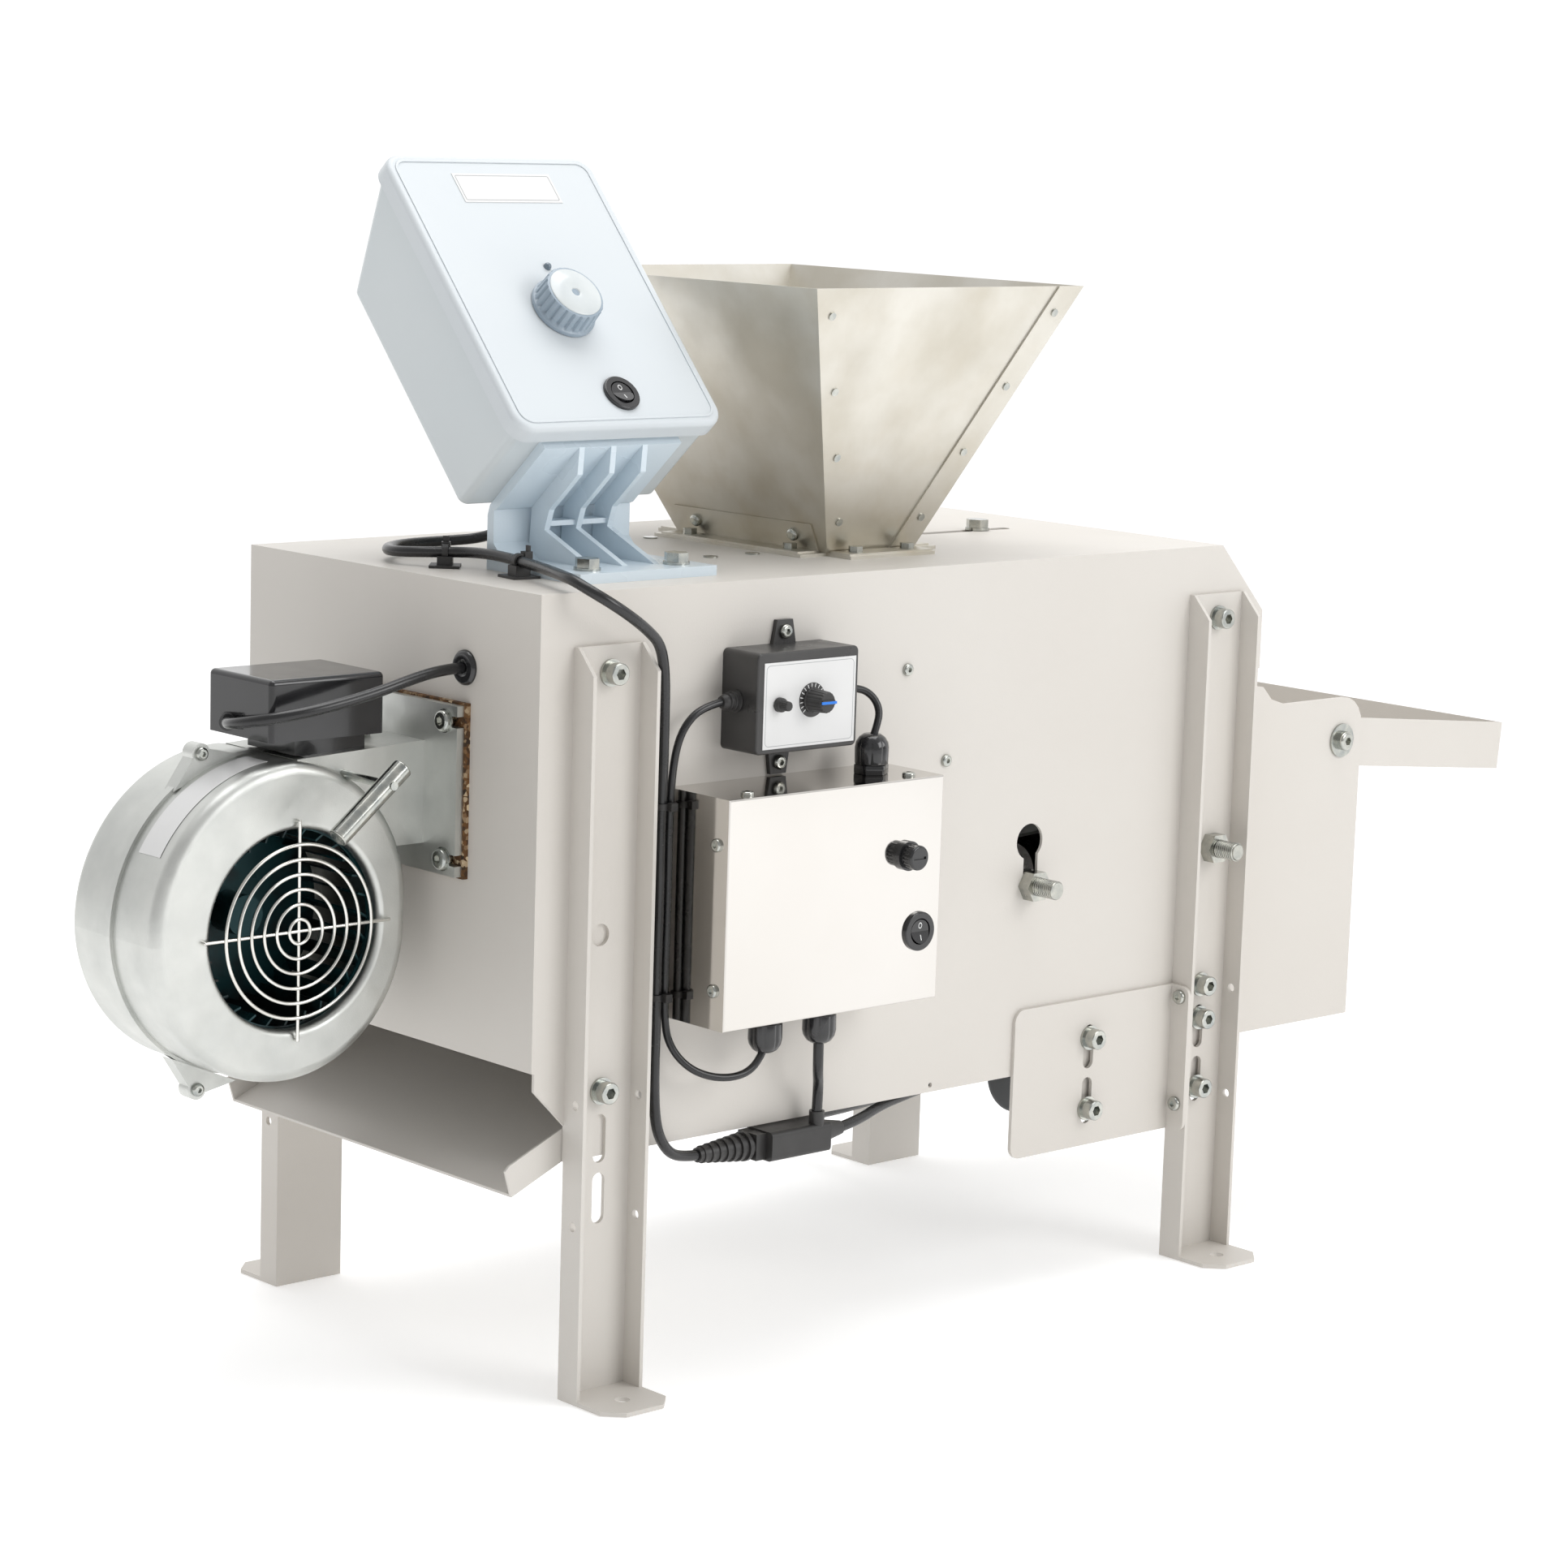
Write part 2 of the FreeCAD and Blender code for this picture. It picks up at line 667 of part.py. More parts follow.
def hopper_base():
    """The frame under the hopper, cross-shaped so that its corners are clear."""
    a = hopper_throat_length / 2
    b = hopper_throat_width / 2
    f = hopper_flange
    z0, z1 = housing_top, hopper_base_z
    shape = box(hopper_x - a - f, hopper_x + a + f, mid_y - b, mid_y + b, z0, z1)
    shape = shape.fuse(box(hopper_x - a, hopper_x + a, mid_y - b - f, mid_y + b + f, z0, z1))
    t = hopper_sheet
    shape = shape.cut(box(hopper_x - a + t, hopper_x + a - t, mid_y - b + t, mid_y + b - t, z0, z1))
    holes = [rod((x, y, z0), (0, 0, 1), m5_r + hole_clearance, z1 - z0) for x, y in flange_bolt_places]
    return shape.cut(Part.makeCompound(holes)).removeSplitter()


def hopper_angles():
    """A bent strip along each foot of the hopper: one leg on the frame, one up the wall."""
    a = hopper_throat_length / 2 + hopper_sheet + 0.1
    b = hopper_throat_width / 2 + hopper_sheet + 0.1
    t = 1.2
    z0 = hopper_base_z
    f = hopper_flange - 3.0
    h = hopper_angle_height
    grow_x = (hopper_rim_length - hopper_throat_length) / 2 / hopper_rise * h
    grow_y = (hopper_rim_width - hopper_throat_width) / 2 / hopper_rise * h
    pieces = []
    for s in (-1, 1):
        leg_xz = [(hopper_x + s * a, z0), (hopper_x + s * (a + f), z0), (hopper_x + s * (a + f), z0 + t),
                  (hopper_x + s * (a + t + t * 0.6), z0 + t), (hopper_x + s * (a + t + grow_x), z0 + h),
                  (hopper_x + s * (a + grow_x), z0 + h)]
        pieces.append(prism_y(leg_xz, mid_y - b + 6.0, mid_y + b - 6.0))
        leg_yz = [(mid_y + s * b, z0), (mid_y + s * (b + f), z0), (mid_y + s * (b + f), z0 + t),
                  (mid_y + s * (b + t), z0 + t)]
        pieces.append(prism_x(leg_yz, hopper_x - a + 2.0, hopper_x + a - 2.0))
    holes = [rod((x, y, z0 - 1), (0, 0, 1), m5_r + hole_clearance, t + 4) for x, y in flange_bolt_places]
    cutter = Part.makeCompound(holes)
    return [piece.cut(cutter) for piece in pieces]


def hopper_rivets():
    """Flat rivets down the folded strips of the near and far walls, and two domes on each foot angle."""
    lean_y = math.atan2((hopper_rim_width - hopper_throat_width) / 2, hopper_rise)
    lean_x = math.atan2((hopper_rim_length - hopper_throat_length) / 2, hopper_rise)
    pieces = []
    for s in (-1, 1):
        for hand in (-1, 1):
            for share in (0.12, 0.37, 0.62, 0.9):
                z = hopper_base_z + hopper_rise * share
                half = hopper_throat_length / 2 + (hopper_rim_length - hopper_throat_length) / 2 * share
                y = mid_y + s * (hopper_throat_width / 2 + hopper_sheet
                                 + (hopper_rim_width - hopper_throat_width) / 2 * share)
                normal = Vector(0, s * math.cos(lean_y), -math.sin(lean_y))
                start = Vector(hopper_x + hand * (half - hopper_strip / 2), y, z)
                pieces.append(Part.makeCylinder(rivet_r, 0.8, start, normal))
            share = 10.0 / hopper_rise
            x = hopper_x + s * (hopper_throat_length / 2 + hopper_sheet + 1.4
                                + (hopper_rim_length - hopper_throat_length) / 2 * share)
            normal = Vector(s * math.cos(lean_x), 0, -math.sin(lean_x))
            dome = Part.makeCylinder(4.2, 3.0, Vector(x, mid_y + hand * 46.0, hopper_base_z + 10.0), normal)
            far_edge = max(dome.Edges, key=lambda e: e.CenterOfMass.dot(normal))
            pieces.append(dome.makeFillet(2.2, [far_edge]))
    return pieces


def hex_bolts():
    """Hexagon bolts through the top: eight round the hopper and two through the control box foot."""
    pieces = []
    seat = hopper_base_z + 1.2
    for x, y in flange_bolt_places:
        pieces.append(hex_bolt_z(x, y, seat, m5_r, 8.0, m5_head, seat - housing_top + sheet + 6.0))
        nut = hexagon((x, y, housing_top - sheet), (0, 0, -1), 8.0, 4.0)
        pieces.append(nut.cut(rod((x, y, housing_top - sheet), (0, 0, -1), m5_r + running_gap, 4.0)))
    seat = housing_top + control_foot_plate
    for x, y in foot_bolt_places:
        pieces.append(ring((x, y, seat), (0, 0, 1), m8_washer_r, m8_r + running_gap, m8_washer))
        pieces.append(hex_bolt_z(x, y, seat + m8_washer, m8_r, 13.0, 5.5, control_foot_plate + sheet + 10.0))
        nut = hexagon((x, y, housing_top - sheet), (0, 0, -1), 13.0, m8_nut)
        pieces.append(nut.cut(rod((x, y, housing_top - sheet), (0, 0, -1), m8_r + running_gap, m8_nut)))
    for x, y in plug_screw_places:
        head = rod((x, y, housing_top), (0, 0, 1), 4.6, 0.9)
        pieces.append(head.fuse(rod((x, y, housing_top), (0, 0, -1), m5_r - 0.1, 10.0)))
    return pieces


# ================================================================ blower
def scroll_wire(inset, y):
    """The snail outline about the blower's axis, drawn in quarter arcs and moved in by inset."""
    radii = [scroll_right, scroll_bottom, scroll_left, scroll_top]
    angles = [0, -90, -180, -270]
    at = lambda r, a: Vector(blower_axis_x + (r - inset) * math.cos(math.radians(a)), y,
                             blower_axis_z + (r - inset) * math.sin(math.radians(a)))
    edges = []
    for k in range(3):
        middle = (radii[k] + radii[k + 1]) / 2
        edges.append(Part.Arc(at(radii[k], angles[k]), at(middle, angles[k] - 45), at(radii[k + 1], angles[k + 1])))
    middle = (radii[3] + radii[0]) / 2
    edges.append(Part.Arc(at(radii[3], 90), at(middle, 45), at(radii[0], 0)))
    return Part.Wire([edge.toShape() for edge in edges])


def scroll_block(inset, y0, y1):
    return Part.Face(scroll_wire(inset, y0)).extrude(Vector(0, y1 - y0, 0))


def neck_block(inset, y0, y1, x1):
    rise = blower_axis_z + scroll_top - inset
    return prism_y([(blower_axis_x + 4.0, rise), (x1, neck_z[1] - inset), (x1, neck_z[0] + inset),
                    (blower_axis_x + 45.0, neck_z[0] + inset)], y0, y1)


flange_back_x = -gasket_depth
flange_front_x = -gasket_depth - flange_depth
ear_places = [(-39.0, 99.5), (-40.0, -95.0), (58.0, -71.0), (74.0, 104.5)]


def flange_plate(y0, y1):
    """The half of the outlet flange between y0 and y1, with a slot open to its edge for each screw."""
    shape = box(flange_front_x, flange_back_x, y0, y1, flange_z[0], flange_z[1])
    cuts = [box(flange_front_x, flange_back_x, neck_y[0] + blower_wall, neck_y[1] - blower_wall,
                neck_z[0] + blower_wall, neck_z[1] - blower_wall)]
    r = m6_r + hole_clearance
    for y, z in flange_screws:
        edge = flange_y[0] if y < blower_mid_y else flange_y[1]
        cuts.append(rod((flange_front_x, y, z), (1, 0, 0), r, flange_depth))
        cuts.append(box(flange_front_x, flange_back_x, min(y, edge), max(y, edge), z - r, z + r))
    return shape.cut(Part.makeCompound(cuts))


def ear(x, z, y0, y1):
    """A screw lug at the seam, with a web that spreads out to the scroll."""
    cx = blower_axis_x + x
    cz = blower_axis_z + z
    lug = rod((cx, y0, cz), (0, 1, 0), ear_r, y1 - y0)
    out_x, out_z = x / math.hypot(x, z), z / math.hypot(x, z)
    at = lambda out, side: (cx + out * out_x - side * out_z, cz + out * out_z + side * out_x)
    web = prism_y([at(0.0, ear_r), at(0.0, -ear_r), at(-2 * ear_r, -ear_web_reach), at(-2 * ear_r, ear_web_reach)],
                  y0, y1)
    return lug.fuse(web)


def blower_front_housing():
    w = blower_wall
    body = scroll_block(0, blower_front_y, blower_seam_y)
    crown = [e for e in body.Edges if abs(e.CenterOfMass.y - blower_front_y) < 1e-6]
    body = body.makeFillet(7.0, crown)
    shape = body.fuse(neck_block(0, neck_y[0], blower_seam_y, flange_front_x))
    rim = scroll_block(-2.0, blower_seam_y - 3.0, blower_seam_y)
    shape = shape.fuse(rim)
    shape = shape.multiFuse([ear(x, z, blower_seam_y - 5.0, blower_seam_y) for x, z in ear_places])
    shape = shape.cut(scroll_block(w, blower_front_y + w, blower_seam_y))
    shape = shape.cut(neck_block(w, neck_y[0] + w, blower_seam_y, flange_front_x))
    lip = rod((blower_axis_x, blower_front_y, blower_axis_z), (0, 1, 0), inlet_r + 3.0, inlet_lip + w)
    shape = shape.fuse(lip)
    shape = shape.cut(rod((blower_axis_x, blower_front_y - 1, blower_axis_z), (0, 1, 0), inlet_r, 20.0))
    mouth = [e for e in shape.Edges if abs(e.CenterOfMass.y - blower_front_y) < 1e-6
             and abs(e.Length - 2 * math.pi * inlet_r) < 0.1]
    shape = shape.makeFillet(inlet_round, mouth)
    shape = shape.fuse(flange_plate(flange_y[0], blower_seam_y))
    shape = shape.cut(rod((damper_x, blower_front_y, damper_z), (0, 1, 0), damper_shaft_r + running_gap, 30.0))
    shape = shape.cut(screw_holes(blower_seam_y - 30.0))
    return shape.removeSplitter()


def screw_holes(y0):
    cuts = []
    for x, z in ear_places:
        cuts.append(rod((blower_axis_x + x, y0, blower_axis_z + z), (0, 1, 0), m4_r, 60.0))
    return Part.makeCompound(cuts)


def blower_rear_housing():
    w = blower_wall
    body = scroll_block(0, blower_seam_y, blower_rear_y)
    crown = [e for e in body.Edges if abs(e.CenterOfMass.y - blower_rear_y) < 1e-6]
    body = body.makeFillet(5.0, crown)
    shape = body.fuse(neck_block(0, blower_seam_y, neck_y[1], flange_front_x))
    shape = shape.fuse(scroll_block(-2.0, blower_seam_y, blower_seam_y + 3.0))
    shape = shape.multiFuse([ear(x, z, blower_seam_y, blower_seam_y + 5.0) for x, z in ear_places])
    shape = shape.cut(scroll_block(w, blower_seam_y, blower_rear_y - w))
    shape = shape.cut(neck_block(w, blower_seam_y, neck_y[1] - w, flange_front_x))
    shape = shape.cut(rod((blower_axis_x, blower_rear_y - w, blower_axis_z), (0, 1, 0), 18.0, w))
    shape = shape.fuse(flange_plate(blower_seam_y, flange_y[1]))
    shape = shape.cut(rod((damper_x, blower_seam_y, damper_z), (0, 1, 0), damper_shaft_r + running_gap, 45.0))
    shape = shape.cut(screw_holes(blower_seam_y - 30.0))
    return shape.removeSplitter()


def inlet_grille():
    """Wire rings on a wire cross, the cross ends turned in and seated on the inlet's face."""
    y = blower_front_y - 3 * grille_wire_r
    centre = Vector(blower_axis_x, y, blower_axis_z)
    reach = inlet_r + inlet_round + 1.5
    wires = []
    for k in range(1, grille_rings + 1):
        wires.append(Part.makeTorus(grille_ring_step * k - 1.5, grille_wire_r, centre, Vector(0, 1, 0)))
    for a in (0, 90):
        d = Vector(math.cos(math.radians(a)), 0, math.sin(math.radians(a)))
        start = centre.sub(Vector(d.x * reach, -grille_wire_r * 0.9, d.z * reach))
        wires.append(Part.makeCylinder(grille_wire_r, 2 * reach, start, d))
        for s in (-1, 1):
            end = centre.add(Vector(d.x * reach * s, grille_wire_r * 0.9, d.z * reach * s))
            wires.append(Part.makeCylinder(grille_wire_r, blower_front_y - end.y, end, Vector(0, 1, 0)))
            wires.append(Part.makeSphere(grille_wire_r, end))
    return wires[0].multiFuse(wires[1:])


def impeller():
    """A drum impeller: back plate, front ring, forward blades, hub and its shaft into the motor."""
    axis = (0, 1, 0)
    cx, cz = blower_axis_x, blower_axis_z
    back = rod((cx, impeller_rear_y - 2.0, cz), axis, impeller_r, 2.0)
    hub = rod((cx, impeller_rear_y - 22.0, cz), axis, impeller_hub_r, 22.0)
    front = ring((cx, impeller_front_y, cz), axis, impeller_r, impeller_r - 6.0, 2.0)
    shaft = rod((cx, impeller_rear_y, cz), axis, motor_shaft_r, 30.0)
    blades = []
    for k in range(impeller_blades):
        blade = Part.makeBox(10.5, impeller_rear_y - impeller_front_y - 2.0, 1.2,
                             Vector(impeller_r - 11.5, impeller_front_y + 1.0, -0.6))
        blade.rotate(Vector(impeller_r - 6.0, 0, 0), Vector(0, 1, 0), 32.0)
        blade.rotate(Vector(0, 0, 0), Vector(0, 1, 0), k * 360.0 / impeller_blades)
        blade.translate(Vector(cx, 0, cz))
        blades.append(blade)
    outer = rod((cx, impeller_front_y, cz), axis, impeller_r, impeller_rear_y - impeller_front_y)
    blades = Part.makeCompound(blades).common(outer)
    return back.multiFuse([hub, front, shaft] + blades.Solids)


def blower_motor():
    """The motor on the back of the scroll, with a bearing boss for the impeller shaft."""
    axis = (0, 1, 0)
    cx, cz = blower_axis_x, blower_axis_z
    can = rod((cx, blower_rear_y, cz), axis, motor_r, motor_length)
    rim = [e for e in can.Edges if abs(e.CenterOfMass.y - blower_rear_y - motor_length) < 1e-6]
    can = can.makeFillet(4.0, rim)
    for k in range(12):
        a = math.radians(30 * k)
        slot = rod((cx + 27.0 * math.cos(a), blower_rear_y + motor_length - 4.0, cz + 27.0 * math.sin(a)),
                   axis, 3.0, 4.0)
        can = can.cut(slot)
    boss = rod((cx, blower_rear_y - blower_wall, cz), axis, 17.7, blower_wall)
    shape = can.fuse(boss)
    return shape.cut(rod((cx, blower_rear_y - blower_wall, cz), axis, motor_shaft_r + running_gap, 24.0))


def blower_gasket():
    m = gasket_margin
    shape = box(flange_back_x, 0, flange_y[0] - m, flange_y[1] + m, flange_z[0] - m, flange_z[1] + m)
    cuts = [box(flange_back_x, 0, neck_y[0] + blower_wall, neck_y[1] - blower_wall,
                neck_z[0] + blower_wall, neck_z[1] - blower_wall)]
    cuts += [rod((flange_back_x, y, z), (1, 0, 0), m6_r + hole_clearance, gasket_depth) for y, z in flange_screws]
    return shape.cut(Part.makeCompound(cuts))


def blower_screws():
    pieces = []
    for y, z in flange_screws:
        pieces.append(pan_screw((flange_front_x - 1.0, y, z), (1, 0, 0), m6_r, 6.3, m6_head, 22.0))
        pieces.append(ring((flange_front_x - 1.0, y, z), (1, 0, 0), 7.0, m6_r + running_gap, 1.0))
        nut = hexagon((sheet, y, z), (1, 0, 0), 10.0, 5.0)
        pieces.append(nut.cut(rod((sheet, y, z), (1, 0, 0), m6_r + running_gap, 5.0)))
    for x, z in ear_places:
        start = (blower_axis_x + x, blower_seam_y - 5.0, blower_axis_z + z)
        pieces.append(pan_screw(start, (0, 1, 0), m4_r - running_gap, m4_head_r, m4_head, 12.0))
    return pieces


def damper():
    """The outlet flap, its pivot shaft and the counterweight rod pinned across the shaft's outer end."""
    y_in = neck_y[0] + blower_wall + 1.0
    y_out = neck_y[1] - blower_wall - 1.0
    shaft = rod((damper_x, damper_rod_y - damper_rod_r - 1.0, damper_z), (0, 1, 0), damper_shaft_r,
                neck_y[1] + 3.0 - damper_rod_y + damper_rod_r + 1.0)
    drop = math.atan2(damper_z - neck_z[0] - blower_wall - 2.0, math.sqrt(damper_flap_length ** 2
                      - (damper_z - neck_z[0] - blower_wall - 2.0) ** 2))
    flap = Part.makeBox(damper_flap_length, y_out - y_in, 1.5, Vector(0, y_in, -0.75))
    flap.rotate(Vector(0, 0, 0), Vector(0, 1, 0), math.degrees(drop))
    flap.translate(Vector(damper_x, 0, damper_z))
    a = math.radians(damper_rod_angle_deg)
    d = Vector(math.cos(a), 0, math.sin(a))
    top = Vector(damper_x, damper_rod_y, damper_z).sub(Vector(d.x, d.y, d.z).multiply(damper_rod_top))
    weight = Part.makeCylinder(damper_rod_r, damper_rod_length, top, d)
    weight = weight.makeFillet(0.8, [e for e in weight.Edges if e.Length < 2 * math.pi * damper_rod_r + 0.1
                                     and abs(e.Length - 2 * math.pi * damper_rod_r) < 0.1])
    return shaft.multiFuse([flap, weight])


def terminal_box():
    x0, x1 = terminal_x
    y0, y1 = terminal_y
    z0, z1 = terminal_z
    shape = box(x0, x1, y0, y1, z0, z1)
    shape = fillet_along(shape, 3.0, lambda m, d: abs(d.z) > 0.9 or m.z > z1 - 0.1)
    pedestal = box(x0 + 22.0, x1 - 8.0, y0 + 8.0, y1 - 8.0, blower_axis_z + scroll_top - 6.0, z0)
    seat = scroll_block(-2.3, blower_front_y, blower_rear_y)
    seat = seat.fuse(neck_block(0, neck_y[0], neck_y[1], flange_front_x))
    seat = seat.multiFuse([ear(x, z, blower_seam_y - 5.0 - fit_gap, blower_seam_y + 5.0 + fit_gap)
                           for x, z in ear_places])
    outlet = Part.makeCylinder(lead_r + 1.6, 14.0, Vector(x0 + 3.0, 136.0, 395.0), Vector(-0.6, -0.8, 0))
    return shape.multiFuse([pedestal.cut(seat), outlet]).removeSplitter()


# ================================================================ control box
tilt = math.radians(control_tilt_deg)


def on_lid(shape):
    """Move a shape drawn flat (x across, y up the lid, z out of it) onto the tilted lid."""
    shape = shape.copy()
    turn = FreeCAD.Rotation(Vector(1, 0, 0), 90 - control_tilt_deg)
    shape.Placement = FreeCAD.Placement(Vector(control_x, control_y, control_z), turn).multiply(shape.Placement)
    return shape


def rounded_plate(width, height, r, z0, z1):
    shape = box(-width / 2, width / 2, -height / 2, height / 2, z0, z1)
    return fillet_along(shape, r, lambda m, d: abs(d.z) > 0.9)


def lid():
    shape = rounded_plate(lid_width, lid_height, lid_corner_r, -lid_depth, 0.0)
    crown = [e for e in shape.Edges if abs(e.CenterOfMass.z) < 1e-6]
    shape = shape.makeFillet(3.5, crown)
    hollow = rounded_plate(lid_width - 2 * control_wall, lid_height - 2 * control_wall,
                           lid_corner_r - control_wall, -lid_depth, -control_wall)
    shape = shape.cut(hollow)
    kx, ky = knob_at
    sx, sy = switch_at
    lx, ly = lamp_at
    for x, y, r in ((kx, ky, 3.5), (sx, sy, round_switch_r - 2.0), (lx, ly, 2.5)):
        shape = shape.cut(rod((x, y, -lid_depth), (0, 0, 1), r, lid_depth + 1.0))
    return on_lid(shape)


def body_outline(inset):
    """The body's side outline as (up the lid, out of the lid); its back is shorter at the top."""
    half = lid_height / 2 - control_inset
    return [(-half + inset, -lid_depth), (half - inset, -lid_depth),
            (half - inset - control_back_cut, -control_depth + inset), (-half + inset, -control_depth + inset)]


def control_body():
    half = lid_width / 2 - control_inset
    w = control_wall
    outer = prism_x(body_outline(0.0), -half, half)
    outer = fillet_along(outer, 6.0, lambda m, d: abs(abs(m.x) - half) < 1e-3 and m.z > -control_depth + 1
                         and m.z < -lid_depth - 1)
    back = [e for e in outer.Edges if abs(e.CenterOfMass.z + control_depth) < 1e-3]
    outer = outer.makeFillet(3.0, back)
    inner = prism_x(body_outline(w), -half + w, half - w)
    shape = outer.cut(inner)
    rim = rounded_plate(lid_width - 2 * control_wall - 2 * fit_gap, lid_height - 2 * control_wall - 2 * fit_gap,
                        lid_corner_r - control_wall, -lid_depth, -lid_depth + 3.0)
    rim = rim.cut(box(-half + w, half - w, -lid_height / 2 + 7.0, lid_height / 2 - 7.0, -lid_depth - 1, 0))
    shape = on_lid(shape.fuse(rim))
    x, y, z = control_gland_at
    way = control_gland_way
    start = (x, y - 10 * way[1], z - 10 * way[2])
    return shape.cut(rod(start, way, 5.9 + 0.1, 20.0))


def lid_point(up, out):
    """The (y, z) place of a point given up the lid and out of it."""
    return (control_y + up * math.sin(tilt) - out * math.cos(tilt),
            control_z + up * math.cos(tilt) + out * math.sin(tilt))


def control_foot():
    """The cast foot: a pad under the box's lower end, a web that bends down, and the base plate."""
    half = lid_height / 2 - control_inset
    t = control_foot_plate
    a = lid_point(-half, -lid_depth - 4.0)
    b = lid_point(-half, -control_depth)
    ao = lid_point(-half - t, -lid_depth - 4.0)
    bo = lid_point(-half - t, -control_depth + 4.0)
    base = housing_top
    web_y = b[0] + 2.0
    front = control_foot_front_y
    sheet_outline = [a, b, (web_y, b[1] - 6.0), (web_y, base), (front, base), (front, base + t),
                     (web_y - t - 10.0, base + t), (web_y - t, base + t + 10.0), (web_y - t, bo[1] - 1.0), bo, ao]
    x0 = control_x - control_foot_width / 2
    x1 = control_x + control_foot_width / 2
    shape = prism_x(sheet_outline, x0, x1)
    d = control_foot_rib_depth
    low = lid_point(-half - t - d, -lid_depth - 16.0)
    turn = lid_point(-half - t - d, -control_depth + 16.0)
    rib_outline = [ao, low, turn, (web_y - t - d - 4.0, base + t + 18.0), (front + 22.0, base + t),
                   (web_y - t, base + t), bo]
    ribs = []
    for k in (-1, 0, 1):
        x = control_x + k * control_foot_rib_pitch
        ribs.append(prism_x(rib_outline, x - control_foot_rib / 2, x + control_foot_rib / 2))
    cross = box(control_x - control_foot_rib_pitch, control_x + control_foot_rib_pitch,
                web_y - t - 14.0, web_y - t, base + t + 20.0, base + t + 23.0)
    shape = shape.multiFuse(ribs + [cross])
    holes = [rod((x, y, base), (0, 0, 1), m8_r + hole_clearance, t) for x, y in foot_bolt_places]
    spots = [rod((x, y, base + t), (0, 0, 1), m8_washer_r + 1.0, 12.0) for x, y in foot_bolt_places]
    return shape.cut(Part.makeCompound(holes)).cut(Part.makeCompound(spots)).removeSplitter()


def control_knob():
    kx, ky = knob_at
    skirt = rod((kx, ky, 0.4), (0, 0, 1), knob_r + 1.0, 3.0)
    body = rod((kx, ky, 0.4), (0, 0, 1), knob_r, knob_height - 0.4)
    top = [e for e in body.Edges if abs(e.CenterOfMass.z - knob_height) < 1e-6]
    body = body.makeFillet(1.5, top)
    flutes = []
    for k in range(24):
        a = math.radians(15 * k)
        flutes.append(rod((kx + (knob_r + 0.6) * math.cos(a), ky + (knob_r + 0.6) * math.sin(a), 3.4),
                          (0, 0, 1), 1.5, knob_height))
    shape = body.cut(Part.makeCompound(flutes)).fuse(skirt)
    shape = shape.fuse(rod((kx, ky, -lid_depth + 2.0), (0, 0, 1), 3.0, lid_depth))
    return on_lid(shape)


def control_lamp():
    x, y = lamp_at
    dome = Part.makeSphere(2.4, Vector(x, y, 0.6))
    dome = dome.fuse(rod((x, y, -6.0), (0, 0, 1), 2.4, 6.6))
    return on_lid(dome)


def switch_bezel(r):
    """A round switch body: a rim on the panel and a barrel behind it, open for the rocker."""
    rim = rod((0, 0, 0), (0, 0, 1), r, 2.2)
    rim = rim.makeFillet(0.9, [e for e in rim.Edges if abs(e.CenterOfMass.z - 2.2) < 1e-6])
    shape = rim.fuse(rod((0, 0, -9.0), (0, 0, 1), r - 2.3, 9.0))
    return shape.cut(rod((0, 0, -7.0), (0, 0, 1), r - 4.0, 10.0))


def switch_rocker(r):
    """A see-saw cap inside the bezel, its face a shallow vee, turning about x."""
    reach = r - 4.8
    face = [(-reach, 3.8), (0.0, 1.6), (reach, 1.9), (reach * 0.8, -3.0), (-reach * 0.8, -3.0)]
    shape = prism_x(face, -r, r)
    return shape.common(rod((0, 0, -4.0), (0, 0, 1), reach, 10.0))


def blank_labels():
    w, h = label_size
    x, y = label_at
    plate = box(x - w / 2, x + w / 2, y - h / 2, y + h / 2, 0.0, 0.4)
    front = box(small_x[0] + 5.0, small_x[1] - 2.5, -small_depth - 0.4, -small_depth, small_z[0] + 3.0,
                small_z[1] - 6.0)
    front = front.cut(rod((small_knob_x, -small_depth - 1, small_knob_z), (0, 1, 0), 3.6, 2.0))
    front = front.cut(rod((trim_x, -small_depth - 1, trim_z), (0, 1, 0), 2.6, 2.0))
    return [on_lid(plate), front]


# ================================================================ small controller and supply box
def small_case():
    x0, x1 = small_x
    z0, z1 = small_z
    shape = box(x0, x1, -small_depth, 0, z0, z1)
    shape = fillet_along(shape, 3.5, lambda m, d: abs(d.y) > 0.9)
    front = [e for e in shape.Edges if abs(e.CenterOfMass.y + small_depth) < 1e-3]
    shape = shape.makeFillet(1.2, front)
    for (x, z), end in zip(controller_screws, (z1, z0)):
        tip = z + math.copysign(7.0, z - end)
        tab = prism_y([(x - 9.0, end), (x + 9.0, end), (x + 6.2, tip), (x - 6.2, tip)], -3.0, 0)
        shape = shape.fuse(tab.cut(rod((x, -3.0, z), (0, 1, 0), m4_r + hole_clearance, 3.0)))
    shape = shape.cut(box(x0 + 2.5, x1 - 2.5, -small_depth + 2.5, -2.0, z0 + 2.5, z1 - 2.5))
    shape = shape.cut(rod((small_knob_x, -small_depth, small_knob_z), (0, 1, 0), 3.6, 3.0))
    shape = shape.cut(rod((trim_x, -small_depth, trim_z), (0, 1, 0), 2.6, 3.0))
    return shape.removeSplitter()


def small_knob():
    """Ribbed knob with a pointer fin across its face, on its spindle."""
    y = -small_depth - 0.8
    a = rod((small_knob_x, y, small_knob_z), (0, -1, 0), small_knob_r + 3.0, 1.6)
    b = rod((small_knob_x, y, small_knob_z), (0, -1, 0), small_knob_r, small_knob_length)
    b = b.makeFillet(1.0, [e for e in b.Edges if abs(e.CenterOfMass.y - y + small_knob_length) < 1e-6])
    spindle = rod((small_knob_x, y, small_knob_z), (0, 1, 0), 3.0, 12.0)
    return b.multiFuse([a, spindle])


